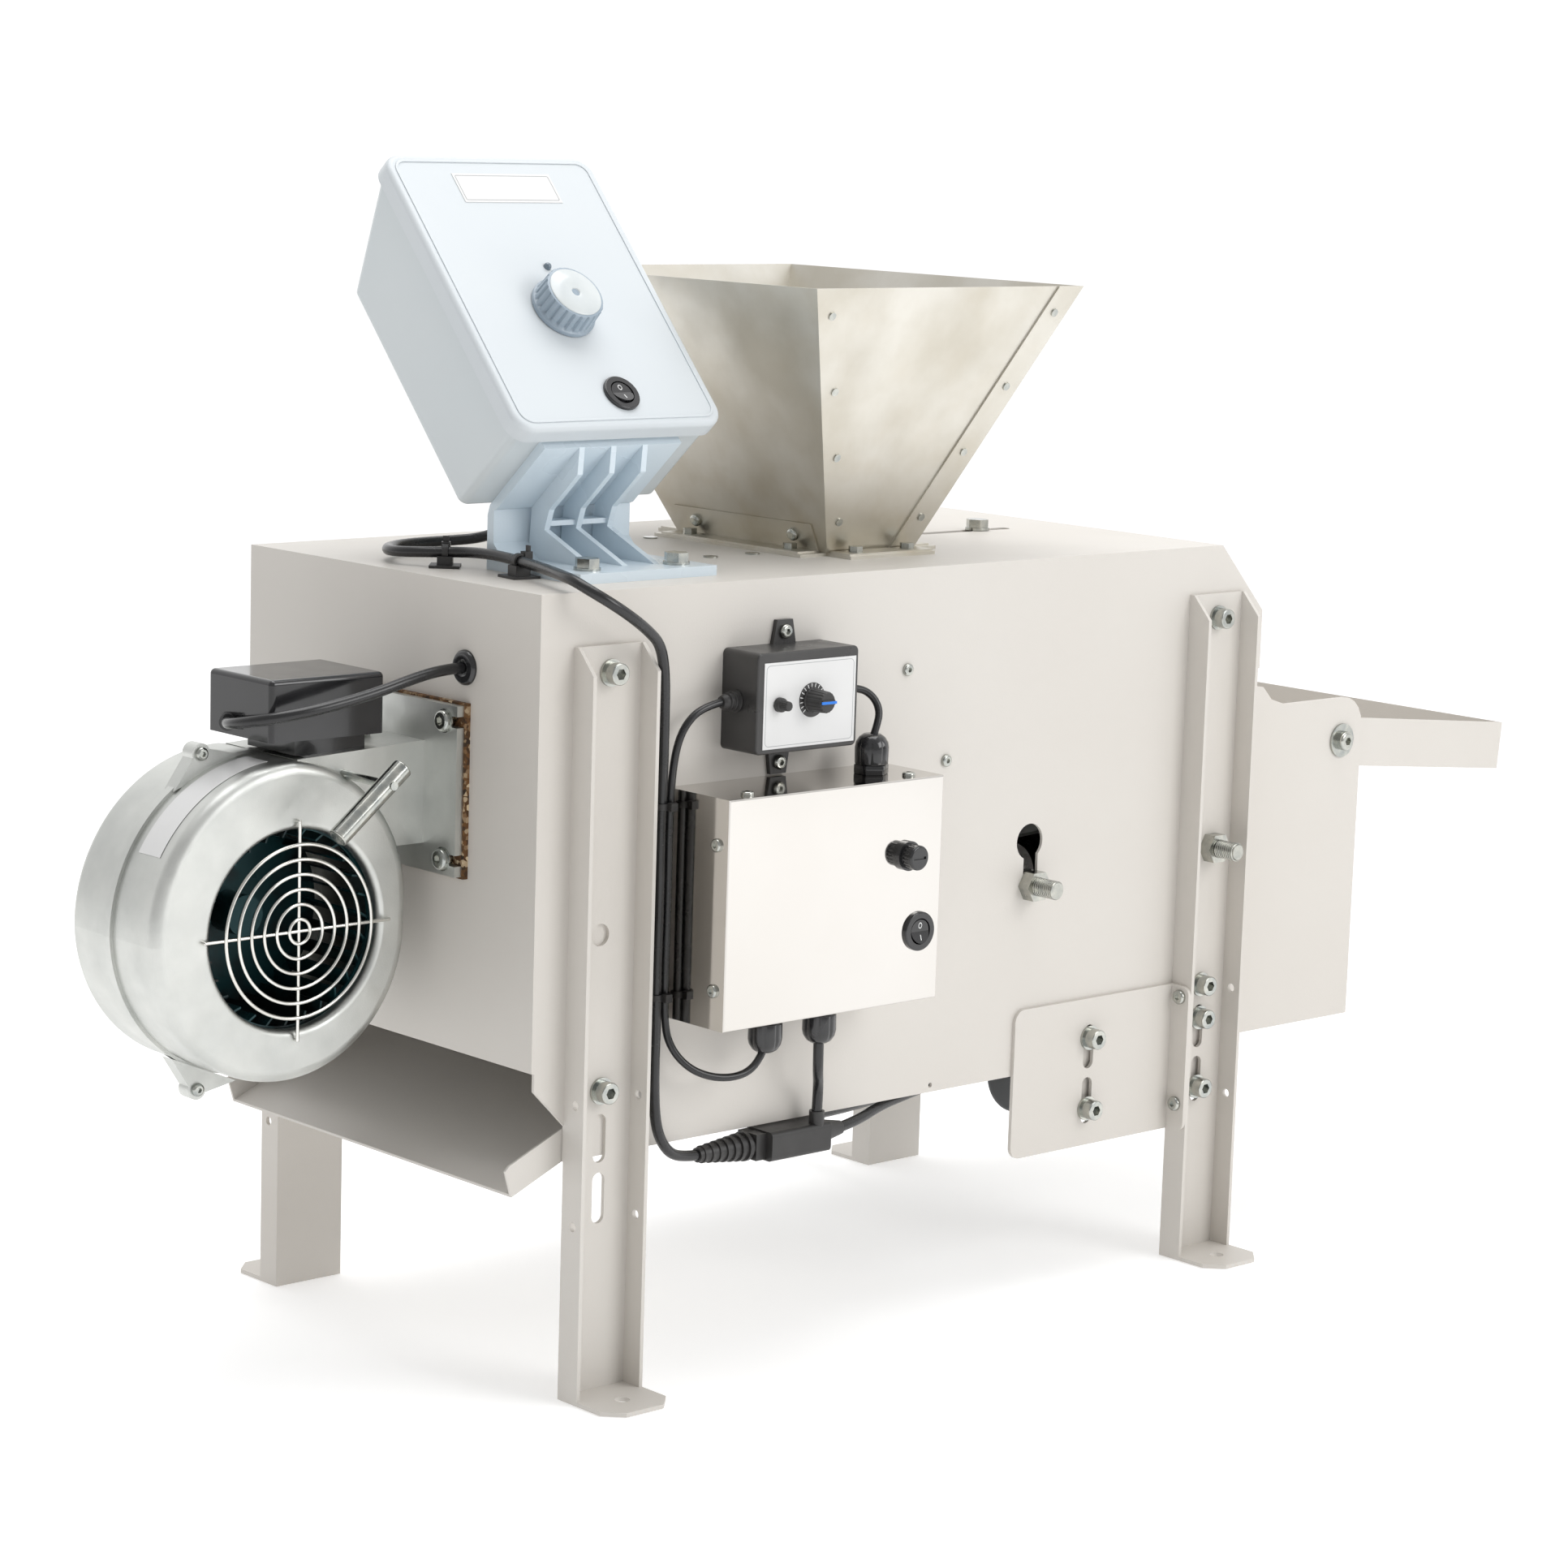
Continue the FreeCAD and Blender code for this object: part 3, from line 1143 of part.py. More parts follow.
def trim_knob():
    y = -small_depth - 0.8
    a = rod((trim_x, y, trim_z), (0, -1, 0), trim_r, trim_length)
    return a.fuse(rod((trim_x, y, trim_z), (0, 1, 0), 2.0, 10.0))


def supply_cover():
    x0, x1 = supply_x
    z0, z1 = supply_z
    t = supply_sheet
    shape = box(x0, x1, -supply_depth, 0, z0, z1)
    shape = fillet_along(shape, 1.0, lambda m, d: abs(m.y + supply_depth) < 1e-3)
    shape = shape.cut(box(x0 + t, x1 - t, -supply_depth + t, 0, z0 + t, z1 - t))
    cuts = [rod((fuse_x, -supply_depth, fuse_z), (0, 1, 0), 6.3, t),
            rod((supply_switch_x, -supply_depth, supply_switch_z), (0, 1, 0), round_switch_r - 2.2, t)]
    for x, z, direction in gland_places():
        cuts.append(rod((x, gland_y, z - t * direction), (0, 0, direction), 6.0, 2 * t))
    for start, inward in supply_screw_places():
        cuts.append(rod((start[0], start[1], start[2]), inward, m4_r - 0.5, t))
    return shape.cut(Part.makeCompound(cuts))


def gland_places():
    """Glands of the supply box: one on top for the controller, two below."""
    return [(234.0, supply_z[1], 1), (155.0, supply_z[0], -1), (198.5, supply_z[0], -1)]


def supply_screw_places():
    x0, x1 = supply_x
    z1 = supply_z[1]
    y = -45.0
    places = []
    for z in (supply_z[0] + 23.0, supply_z[1] - 27.5):
        places.append(((x0, y, z), (1, 0, 0)))
        places.append(((x1, y, z), (-1, 0, 0)))
    for x in (x0 + 22.0, x1 - 20.0):
        places.append(((x, y, z1), (0, 0, -1)))
    return places


def supply_back():
    """The back pan that the cover screws to, with a bent lip along three edges."""
    x0, x1 = supply_x
    z0, z1 = supply_z
    t = supply_sheet
    g = t + 0.1
    plate = box(x0 + g, x1 - g, -t, 0, z0 + g, z1 - g)
    lips = [box(x0 + g, x0 + g + t, -supply_depth + 6.0, 0, z0 + 12.0, z1 - 12.0),
            box(x1 - g - t, x1 - g, -supply_depth + 6.0, 0, z0 + 12.0, z1 - 12.0),
            box(x0 + 12.0, x1 - 12.0, -supply_depth + 6.0, 0, z1 - g - t, z1 - g)]
    shape = plate.multiFuse(lips)
    cuts = [rod(start, inward, m4_r - 0.5, 6.0) for start, inward in supply_screw_places()]
    cuts.append(rod((gland_places()[0][0], gland_y, z1 - 6.0), (0, 0, 1), 11.5, 6.0))
    return shape.cut(Part.makeCompound(cuts)).removeSplitter()


def supply_screws():
    pieces = [pan_screw(start, inward, m4_r - 0.55, 4.0, 2.2, 5.0) for start, inward in supply_screw_places()]
    for x, z in controller_screws:
        pieces.append(pan_screw((x, -3.0, z), (0, 1, 0), m4_r - running_gap, 4.4, 3.0, 8.0))
    for x, z in loose_screws:
        pieces.append(pan_screw((x, 0, z), (0, 1, 0), m4_r - running_gap, m4_head_r, 2.4, 6.0))
    return pieces


def fuse_holder():
    y = -supply_depth
    rim = ring((fuse_x, y, fuse_z), (0, -1, 0), 9.0, 5.2, 3.0)
    barrel = ring((fuse_x, y, fuse_z), (0, 1, 0), 6.2, 5.2, 26.0)
    end = rod((fuse_x, y + 24.0, fuse_z), (0, 1, 0), 6.2, 2.0)
    nut = ring((fuse_x, y + supply_sheet, fuse_z), (0, 1, 0), 8.5, 6.2, 3.0)
    return rim.multiFuse([barrel, end, nut])


def fuse_cap():
    """A fluted cap outside the holder with a plug that carries the fuse."""
    y = -supply_depth - 3.2
    length = fuse_cap_length
    cap = rod((fuse_x, y, fuse_z), (0, -1, 0), 7.6, length)
    cap = cap.makeFillet(1.5, [e for e in cap.Edges if abs(e.CenterOfMass.y - (y - length)) < 1e-6])
    flutes = []
    for k in range(20):
        a = math.radians(18 * k)
        flutes.append(rod((fuse_x + 7.9 * math.cos(a), y - 1.5, fuse_z + 7.9 * math.sin(a)), (0, -1, 0), 0.8,
                          length - 4.0))
    slot = box(fuse_x - 5.0, fuse_x + 5.0, y - length, y - length + 1.0, fuse_z - 0.8, fuse_z + 0.8)
    shape = cap.cut(Part.makeCompound(flutes)).cut(slot)
    return shape.fuse(rod((fuse_x, y, fuse_z), (0, 1, 0), 5.1, 22.0))


def on_supply(shape):
    """Turn a shape drawn flat (x across, y up, z out) onto the supply box's front."""
    shape = shape.copy()
    turn = FreeCAD.Rotation(Vector(1, 0, 0), 90)
    place = Vector(supply_switch_x, -supply_depth, supply_switch_z)
    shape.Placement = FreeCAD.Placement(place, turn).multiply(shape.Placement)
    return shape


def on_switch_seat(shape):
    x, y = switch_at
    shape = shape.copy()
    shape.translate(Vector(x, y, 0))
    return on_lid(shape)


def gland(x, y, z, direction, wall, r=10.0):
    """A cable gland standing on a wall, solid where the lead meets it, with a lock nut inside."""
    d = Vector(*direction)
    at = lambda s: (x + d.x * s, y + d.y * s, z + d.z * s)
    shape = hexagon(at(0), direction, 2 * r - 1.0, 6.0)
    shape = shape.fuse(hexagon(at(6.0), direction, 2 * r - 3.0, gland_length - 13.0))
    dome = Part.makeCone(r - 1.8, lead_r + 1.4, 7.0, Vector(*at(gland_length - 7.0)), d)
    shape = shape.multiFuse([dome, rod(at(-wall - 7.0), direction, 5.9, wall + 7.0)])
    nut = hexagon(at(-wall - 4.0), direction, 2 * r - 2.0, 4.0)
    nut = nut.cut(rod(at(-wall - 4.0), direction, 5.9, 4.0))
    return [shape, nut]


def boot(x, y, z, direction, length, ribs):
    """A ribbed strain relief where a lead leaves the small controller."""
    d = Vector(*direction)
    at = lambda s: (x + d.x * s, y + d.y * s, z + d.z * s)
    shape = Part.makeCone(6.2, thin_lead_r + 1.4, length, Vector(*at(0)), d)
    for k in range(ribs):
        shape = shape.fuse(rod(at(1.0 + 3.6 * k), direction, 6.4 - 0.6 * k, 1.6))
    return shape


def cable_glands():
    """Glands, boots and the grommet in the end wall."""
    pieces = []
    for x, z, direction in gland_places():
        pieces += gland(x, gland_y, z, (0, 0, direction), supply_sheet)
    pieces += gland(*control_gland_at, control_gland_way, control_wall)
    pieces.append(boot(small_x[0], -13.0, small_boot_z, (-1, 0, 0), 12.0, 3))
    pieces.append(boot(small_x[1], -14.0, small_boot_z + 1.0, (1, 0, 0), 5.0, 1))
    flange = rod((-3.0, grommet_y, grommet_z), (1, 0, 0), grommet_r + 3.5, 3.0)
    flange = flange.makeFillet(1.2, [e for e in flange.Edges if abs(e.CenterOfMass.x + 3.0) < 1e-6])
    grommet = flange.multiFuse([rod((0, grommet_y, grommet_z), (1, 0, 0), grommet_r - 0.1, sheet),
                                rod((sheet, grommet_y, grommet_z), (1, 0, 0), grommet_r + 3.0, 3.0)])
    pieces.append(grommet)
    return pieces


small_boot_z = 405.5
control_gland_at = (control_x,) + lid_point(-80.0, -control_depth)
control_gland_way = (0.0, math.cos(tilt), -math.sin(tilt))


# ================================================================ conveyor and its drive
bracket_sheet = 3.0
bracket_y = (sheet, sheet + bracket_sheet)
pulley_y = (sheet + jam_nut + 1.0, sheet + jam_nut + 1.0 + pulley_width)


def roller(x, z, y0, y1):
    shape = rod((x, y0, z), (0, 1, 0), roller_r, y1 - y0)
    return shape.cut(rod((x, y0, z), (0, 1, 0), roller_bore_r + running_gap, y1 - y0))


def drive_roller():
    shape = roller(drive_x, drive_z, roller_margin, housing_width - roller_margin)
    y0, y1 = pulley_y
    wheel = rod((drive_x, y0, drive_z), (0, 1, 0), drive_pulley_r + 3.0, y1 - y0 + 1.0)
    groove = ring((drive_x, y0 + 1.5, drive_z), (0, 1, 0), drive_pulley_r + 4.0, drive_pulley_r, pulley_width - 3.0)
    wheel = wheel.cut(groove)
    wheel = wheel.fuse(rod((drive_x, y1, drive_z), (0, 1, 0), 14.0, roller_margin - y1))
    wheel = wheel.cut(rod((drive_x, y0, drive_z), (0, 1, 0), roller_bore_r + running_gap, roller_margin - y0))
    return shape.fuse(wheel)


def idler_roller():
    return roller(idler_x, idler_z, roller_margin, housing_width - roller_margin)


def belt_loop(ax, az, ar, bx, bz, br, thickness, gap, y0, y1):
    """A belt round two wheels: the hull of two circles, less the same hull one thickness smaller."""
    def hull(extra):
        ra, rb = ar + extra, br + extra
        length = math.hypot(bx - ax, bz - az)
        base = math.atan2(bz - az, bx - ax)
        spread = math.acos((ra - rb) / length)
        at = lambda x, z, r, a: Vector(x + r * math.cos(a), y0, z + r * math.sin(a))
        up, down = base + spread, base - spread
        edges = [
            Part.makeLine(at(bx, bz, rb, up), at(ax, az, ra, up)),
            Part.Arc(at(ax, az, ra, up), at(ax, az, ra, base + math.pi), at(ax, az, ra, down)).toShape(),
            Part.makeLine(at(ax, az, ra, down), at(bx, bz, rb, down)),
            Part.Arc(at(bx, bz, rb, down), at(bx, bz, rb, base), at(bx, bz, rb, up)).toShape(),
        ]
        return Part.Face(Part.Wire(edges)).extrude(Vector(0, y1 - y0, 0))
    return hull(gap + thickness).cut(hull(gap))


def conveyor():
    return belt_loop(idler_x, idler_z, roller_r, drive_x, drive_z, roller_r, conveyor_belt, 0.3,
                     conveyor_margin, housing_width - conveyor_margin)


def drive_belt_loop():
    return belt_loop(gearmotor_x, gearmotor_z, motor_pulley_r, drive_x, drive_z, drive_pulley_r, drive_belt,
                     0.3, pulley_y[0] + 1.9, pulley_y[1] - 1.9)


def motor_pulley():
    """The grooved pulley and the gearbox's output shaft."""
    y0, y1 = pulley_y
    wheel = rod((gearmotor_x, y0, gearmotor_z), (0, 1, 0), motor_pulley_r + 3.0, y1 - y0)
    wheel = wheel.cut(ring((gearmotor_x, y0 + 1.5, gearmotor_z), (0, 1, 0), motor_pulley_r + 4.0, motor_pulley_r,
                           pulley_width - 3.0))
    return wheel.fuse(rod((gearmotor_x, y1, gearmotor_z), (0, 1, 0), 4.0, 24.0))


gearbox_y = (pulley_y[1] + 2.0, pulley_y[1] + 44.0)


def gearmotor():
    """A worm gearmotor: a flat gearbox behind the pulley, its motor lying towards the blower end."""
    y0, y1 = gearbox_y
    x, z = gearmotor_x, gearmotor_z
    case = box(x - 34.0, x + 28.0, y0, y1, z - 28.0, z + 26.0)
    case = fillet_along(case, 8.0, lambda m, d: abs(d.y) > 0.9)
    axis_z = z - 10.0
    middle = (y0 + y1) / 2
    can = rod((x - 34.0, middle, axis_z), (-1, 0, 0), 20.5, gearmotor_can)
    end = [e for e in can.Edges if abs(e.CenterOfMass.x - (x - 34.0 - gearmotor_can)) < 1e-6]
    can = can.makeFillet(5.0, end)
    shape = case.fuse(can)
    return shape.cut(rod((x, y0, z), (0, 1, 0), 4.0 + running_gap, 24.0))


def motor_bracket():
    """Behind the panel: a plate on the four drive bolts, with a shelf under the gearbox."""
    y0, y1 = bracket_y
    x0, x1 = plate_bolt_x - 16.0, leg_centres[1] + 16.0
    z0 = gearmotor_z - 28.0 - bracket_sheet
    z1 = leg_slots[0][1] + 5.0
    plate = box(x0, x1, y0, y1, z0, z1)
    shelf = box(gearmotor_x - 34.0, gearmotor_x + 28.0, y0, gearbox_y[1], z0, z0 + bracket_sheet)
    shape = plate.fuse(shelf)
    cuts = []
    for x in (plate_bolt_x, leg_centres[1]):
        for z in drive_bolt_heights:
            cuts.append(rod((x, y0, z), (0, 1, 0), m8_r + hole_clearance, bracket_sheet))
    return shape.cut(Part.makeCompound(cuts)).removeSplitter()


def motor_plate():
    """The outer plate with two upright slots, its edge folded out along the leg's flange."""
    z0, z1 = plate_z
    x1 = leg_tray_end_x
    t = leg_sheet
    face = box(plate_x0, x1, -t, 0, z0, z1)
    face = fillet_along(face, 8.0, lambda m, d: abs(d.y) > 0.9 and m.x < plate_x0 + 1)
    fold = box(x1 - t, x1, -leg_flange, 0, z0, z1)
    fold = fillet_along(fold, 6.0, lambda m, d: abs(d.x) > 0.9 and m.y < -leg_flange + 1)
    shape = face.fuse(fold)
    cuts = [slot_y(plate_bolt_x, low, high, leg_slot_r, -t, 0) for low, high in leg_slots]
    cuts += [rod((x1 - t, -10.0, z), (1, 0, 0), flange_hole_r, t) for z in flange_hole_heights]
    return shape.cut(Part.makeCompound(cuts)).removeSplitter()


def plate_screws():
    """Two screws that hold the plate's fold to the leg's flange."""
    pieces = []
    for z in flange_hole_heights:
        start = (leg_tray_end_x - leg_sheet, -10.0, z)
        pieces.append(pan_screw(start, (1, 0, 0), m5_r, 4.8, 3.0, 2 * leg_sheet + 6.0))
        nut = hexagon((leg_tray_end_x + leg_sheet, -10.0, z), (1, 0, 0), 8.0, 4.0)
        pieces.append(nut.cut(rod((leg_tray_end_x + leg_sheet, -10.0, z), (1, 0, 0), m5_r + running_gap, 4.0)))
    return pieces


def axles():
    """The two threaded axles across the housing, with nuts outside and thin nuts inside."""
    pieces = []
    for x, z, seat in ((idler_x, idler_z, 0.0), (drive_x, drive_z, leg_sheet)):
        start = -seat - axle_nut - axle_stud
        length = housing_width - 2 * start
        bar = rod((x, start, z), (0, 1, 0), roller_bore_r, length)
        ends = [e for e in bar.Edges if abs(e.Length - 2 * math.pi * roller_bore_r) < 0.1]
        pieces.append(bar.makeChamfer(1.0, ends))
        outside = hexagon((x, -seat, z), (0, -1, 0), axle_nut_width, axle_nut)
        inside = hexagon((x, sheet, z), (0, 1, 0), axle_nut_width, jam_nut)
        for nut in (outside, inside):
            nut = nut.cut(rod((x, start, z), (0, 1, 0), roller_bore_r + running_gap, 80.0))
            pieces += [nut, mirrored(nut)]
    return pieces


# ================================================================ leads
blower_route = [
    (-125.4, 124.8, 395.0), (-134.0, 113.3, 396.5), (-136.5, 95.0, 399.5), (-126.0, 77.5, 403.5),
    (-101.0, 70.5, 407.5), (-66.0, 69.0, 413.5), (-36.0, 68.5, 421.0), (-17.0, 68.0, 424.4), (-3.0, 68.0, 424.7),
]
control_route = [
    (102.0, 142.2, 509.8), (102.0, 155.6, 497.8), (102.0, 170.0, 488.0), (98.0, 183.5, 483.0),
    (82.0, 194.0, 481.2), (60.0, 198.0, 480.6), (37.0, 190.5, 480.6), (20.5, 174.0, 481.0), (17.0, 155.5, 481.8),
    (27.0, 139.5, 482.7), (41.0, 127.0, 483.3), (42.5, 104.0, 484.6), (41.5, 82.0, 484.2), (39.0, 60.0, 483.3),
    (30.0, 32.0, 483.2), (22.0, 9.0, 482.8), (19.0, -4.0, 482.0), (21.0, -16.0, 477.5), (29.5, -24.0, 471.0),
    (44.0, -25.0, 462.5), (59.0, -22.5, 453.5), (73.0, -18.7, 443.5), (81.3, -13.3, 424.5), (84.8, -9.5, 393.0),
    (85.9, -8.2, 364.0), (85.6, -7.6, 330.0), (86.0, -7.9, 290.0), (85.6, -7.5, 252.0), (85.8, -7.8, 214.0),
    (85.3, -8.2, 182.0), (86.0, -9.5, 160.0), (91.0, -9.2, 147.0), (101.5, -6.5, 137.0), (114.5, -4.4, 133.2),
    (124.0, -4.0, 132.5),
]
small_left_route = [
    (125.0, -13.0, 405.5), (112.0, -13.0, 403.7), (101.0, -12.0, 396.5), (95.0, -10.0, 384.0),
    (92.7, -8.4, 364.0), (92.3, -7.6, 334.0), (92.6, -7.9, 294.0), (92.2, -7.6, 254.0), (92.4, -7.8, 216.0),
    (95.5, -11.5, 202.0), (104.0, -17.0, 191.0), (116.0, -21.5, 185.0), (129.0, -25.0, 183.0),
    (141.0, -26.6, 184.5), (149.8, -27.0, 190.0), (154.2, -27.0, 197.4),
]
small_right_route = [
    (222.0, -14.0, 406.5), (231.5, -16.5, 407.0), (239.0, -21.3, 402.0), (241.0, -25.5, 393.5),
    (237.5, -27.0, 384.5), (235.0, -27.0, 379.0),
]
supply_route = [
    (198.5, -27.0, 196.0), (198.4, -27.2, 186.0), (201.6, -24.0, 176.5), (209.0, -16.6, 168.0),
    (212.2, -13.2, 158.8), (212.0, -13.0, 149.0),
]
mains_route = [
    (240.0, -4.0, 132.5), (258.0, -1.5, 134.0), (284.0, 6.5, 138.0), (314.0, 13.0, 139.6), (346.0, 26.0, 138.5),
    (378.0, 48.0, 134.0), (405.0, 78.0, 127.0), (432.0, 113.0, 116.0), (457.0, 150.0, 101.0),
    (478.0, 190.0, 83.0), (494.0, 232.0, 65.0), (505.0, 278.0, 47.0), (510.0, 325.0, 30.0),
    (516.0, 366.0, 15.5), (530.0, 402.0, 6.5), (552.0, 424.4, 3.9), (575.0, 436.0, 3.6),
]
tail_route = [
    (575.0, 436.0, 30.8), (598.0, 447.6, 31.6), (619.0, 463.0, 29.0), (634.0, 484.0, 24.5),
    (642.0, 508.0, 20.3), (645.0, 530.0, 18.6),
]
plug_way = (0.13, 0.99, 0.0)


def cord(route, r):
    """A round lead: straight runs joined by tangent arcs, each arc using 45 % of its shorter run."""
    points = [Vector(*p) for p in route]
    edges = []
    start = points[0]
    tightest = 1e9
    length = 0.0
    for before, corner, after in zip(points, points[1:], points[2:]):
        u = before.sub(corner)
        v = after.sub(corner)
        reach = 0.45 * min(u.Length, v.Length)
        u.normalize()
        v.normalize()
        half_turn = (math.pi - u.getAngle(v)) / 2
        radius = reach / math.tan(half_turn)
        inward = u.add(v).normalize()
        p = corner.add(Vector(u).multiply(reach))
        q = corner.add(Vector(v).multiply(reach))
        middle = corner.add(inward.multiply(radius / math.cos(half_turn) - radius))
        edges.append(Part.LineSegment(start, p).toShape())
        edges.append(Part.Arc(p, middle, q).toShape())
        tightest = min(tightest, radius)
        start = q
    edges.append(Part.LineSegment(start, points[-1]).toShape())
    wire = Part.Wire(edges)
    way = points[1].sub(points[0])
    section = Part.Wire([Part.makeCircle(r, points[0], way)])
    tube = wire.makePipeShell([section], True, False)
    share = tube.Volume / (math.pi * r * r * wire.Length)
    print("lead: tightest radius %.1f mm = %.1f d, length %.0f mm, volume share %.3f"
          % (tightest, tightest / (2 * r), wire.Length, share))
    return tube


def coil():
    """The spare mains lead, wound in a neat stack of turns behind the machine."""
    helix = Part.makeHelix(coil_pitch, coil_pitch * coil_turns, coil_r)
    helix.rotate(Vector(0, 0, 0), Vector(0, 0, 1), -63.3)
    start = Vector(*mains_route[-1])
    first = helix.Edges[0].valueAt(helix.Edges[0].FirstParameter)
    helix.translate(start.sub(first))
    edge = helix.Edges[0]
    way = edge.tangentAt(edge.FirstParameter)
    section = Part.Wire([Part.makeCircle(lead_r, start, way)])
    return Part.Wire(helix.Edges).makePipeShell([section], True, True)


def plug():
    """A generic round mains plug with a ribbed, tapered strain relief and two pins."""
    d = Vector(*plug_way).normalize()
    start = Vector(*tail_route[-1])
    at = lambda s: start.add(Vector(d).multiply(s))
    shape = Part.makeCone(lead_r + 1.2, 8.0, 30.0, at(0), d)
    for k in range(5):
        shape = shape.fuse(Part.makeCylinder(lead_r + 2.2 + 0.7 * k, 2.2, at(3.0 + 5.0 * k), d))
    shape = shape.fuse(Part.makeCone(8.0, 17.5, 14.0, at(30.0), d))
    shape = shape.fuse(Part.makeCylinder(17.5, 18.0, at(44.0), d))
    for s in (-1, 1):
        pin = at(62.0).add(Vector(d.y * 9.5 * s, -d.x * 9.5 * s, 0))
        shape = shape.fuse(Part.makeCylinder(2.4, 19.0, pin, d))
    return shape


def coupler():
    """The junction under the housing: ribbed inlet, block, a neck for the supply lead, tapered outlet."""
    y, z = coupler_axis
    pieces = [Part.makeCone(lead_r + 1.2, 8.0, 40.0, Vector(124.0, y, z), Vector(1, 0, 0))]
    for k in range(7):
        pieces.append(rod((127.0 + 5.4 * k, y, z), (1, 0, 0), lead_r + 2.1 + 0.62 * k, 2.6))
    pieces.append(box(164.0, 172.0, y - 8.5, y + 8.5, z - 8.0, z + 8.0))
    block = box(172.0, 220.0, y - 14.0, y + 10.0, z - 9.0, z + 9.0)
    block = fillet_along(block, 3.0, lambda m, d: abs(d.x) > 0.9)
    pieces.append(block)
    pieces.append(rod((212.0, -13.0, z + 6.0), (0, 0, 1), lead_r + 1.5, 149.0 - z - 6.0))
    pieces.append(Part.makeCone(8.0, lead_r + 1.0, 20.0, Vector(220.0, y, z), Vector(1, 0, 0)))
    return pieces[0].multiFuse(pieces[1:]).removeSplitter()


def tie_mount(x, y, angle_deg, lead_z):
    """A stick-on square mount on the top cover with a tie round the lead."""
    pad = box(-9.0, 9.0, -9.0, 9.0, 0, 1.6)
    saddle = box(-4.5, 4.5, -5.0, 5.0, 1.6, lead_z - housing_top - lead_r + 1.0)
    z = lead_z - housing_top
    loop = rod((-1.8, 0, z), (1, 0, 0), lead_r + tie_gap + 1.2, 3.6)
    head = box(-2.6, 2.6, lead_r - 1.0, lead_r + 4.2, z + 1.0, z + 5.6)
    stub = box(-1.8, 1.8, lead_r + 2.0, lead_r + 3.2, z + 5.0, z + 9.0)
    shape = pad.multiFuse([saddle, loop, head, stub])
    shape = shape.cut(rod((-12.0, 0, z), (1, 0, 0), lead_r + tie_gap, 24.0))
    shape.rotate(Vector(0, 0, 0), Vector(0, 0, 1), angle_deg)
    shape.translate(Vector(x, y, housing_top))
    return shape


def bundle_tie(x0, x1, y, z):
    """A tie round the two leads that run side by side, given their two centres."""
    ra = lead_r + tie_gap
    rb = thin_lead_r + tie_gap
    t = 1.2
    band = belt_loop_z(x0, y, ra, x1, y, rb, t, z - 1.8, z + 1.8)
    head = box((x0 + x1) / 2 - 2.5, (x0 + x1) / 2 + 2.5, y - ra - t - 3.4, y - ra - t + 0.8, z - 2.4, z + 2.4)
    inside = belt_loop_z(x0, y, ra, x1, y, rb, 0.0, z - 3.0, z + 3.0)
    return band.fuse(head).cut(inside)


def belt_loop_z(ax, ay, ar, bx, by, br, grow, z0, z1):
    """The hull of two circles in plan, grown by grow, as an upright block."""
    ra, rb = ar + grow, br + grow
    length = math.hypot(bx - ax, by - ay)
    base = math.atan2(by - ay, bx - ax)
    spread = math.acos((ra - rb) / length)
    at = lambda x, y, r, a: Vector(x + r * math.cos(a), y + r * math.sin(a), z0)
    up, down = base + spread, base - spread
    edges = [
        Part.makeLine(at(bx, by, rb, up), at(ax, ay, ra, up)),
        Part.Arc(at(ax, ay, ra, up), at(ax, ay, ra, base + math.pi), at(ax, ay, ra, down)).toShape(),
        Part.makeLine(at(ax, ay, ra, down), at(bx, by, rb, down)),
        Part.Arc(at(bx, by, rb, down), at(bx, by, rb, base), at(bx, by, rb, up)).toShape(),
    ]
    return Part.Face(Part.Wire(edges)).extrude(Vector(0, 0, z1 - z0))


def cable_ties():
    return [
        tie_mount(34.0, 133.3, -41.8, housing_top + 9.0),
        tie_mount(40.2, 71.0, -96.5, housing_top + 9.7),
        bundle_tie(85.75, 92.5, -7.9, 347.0),
        bundle_tie(85.7, 92.3, -7.7, 234.0),
    ]


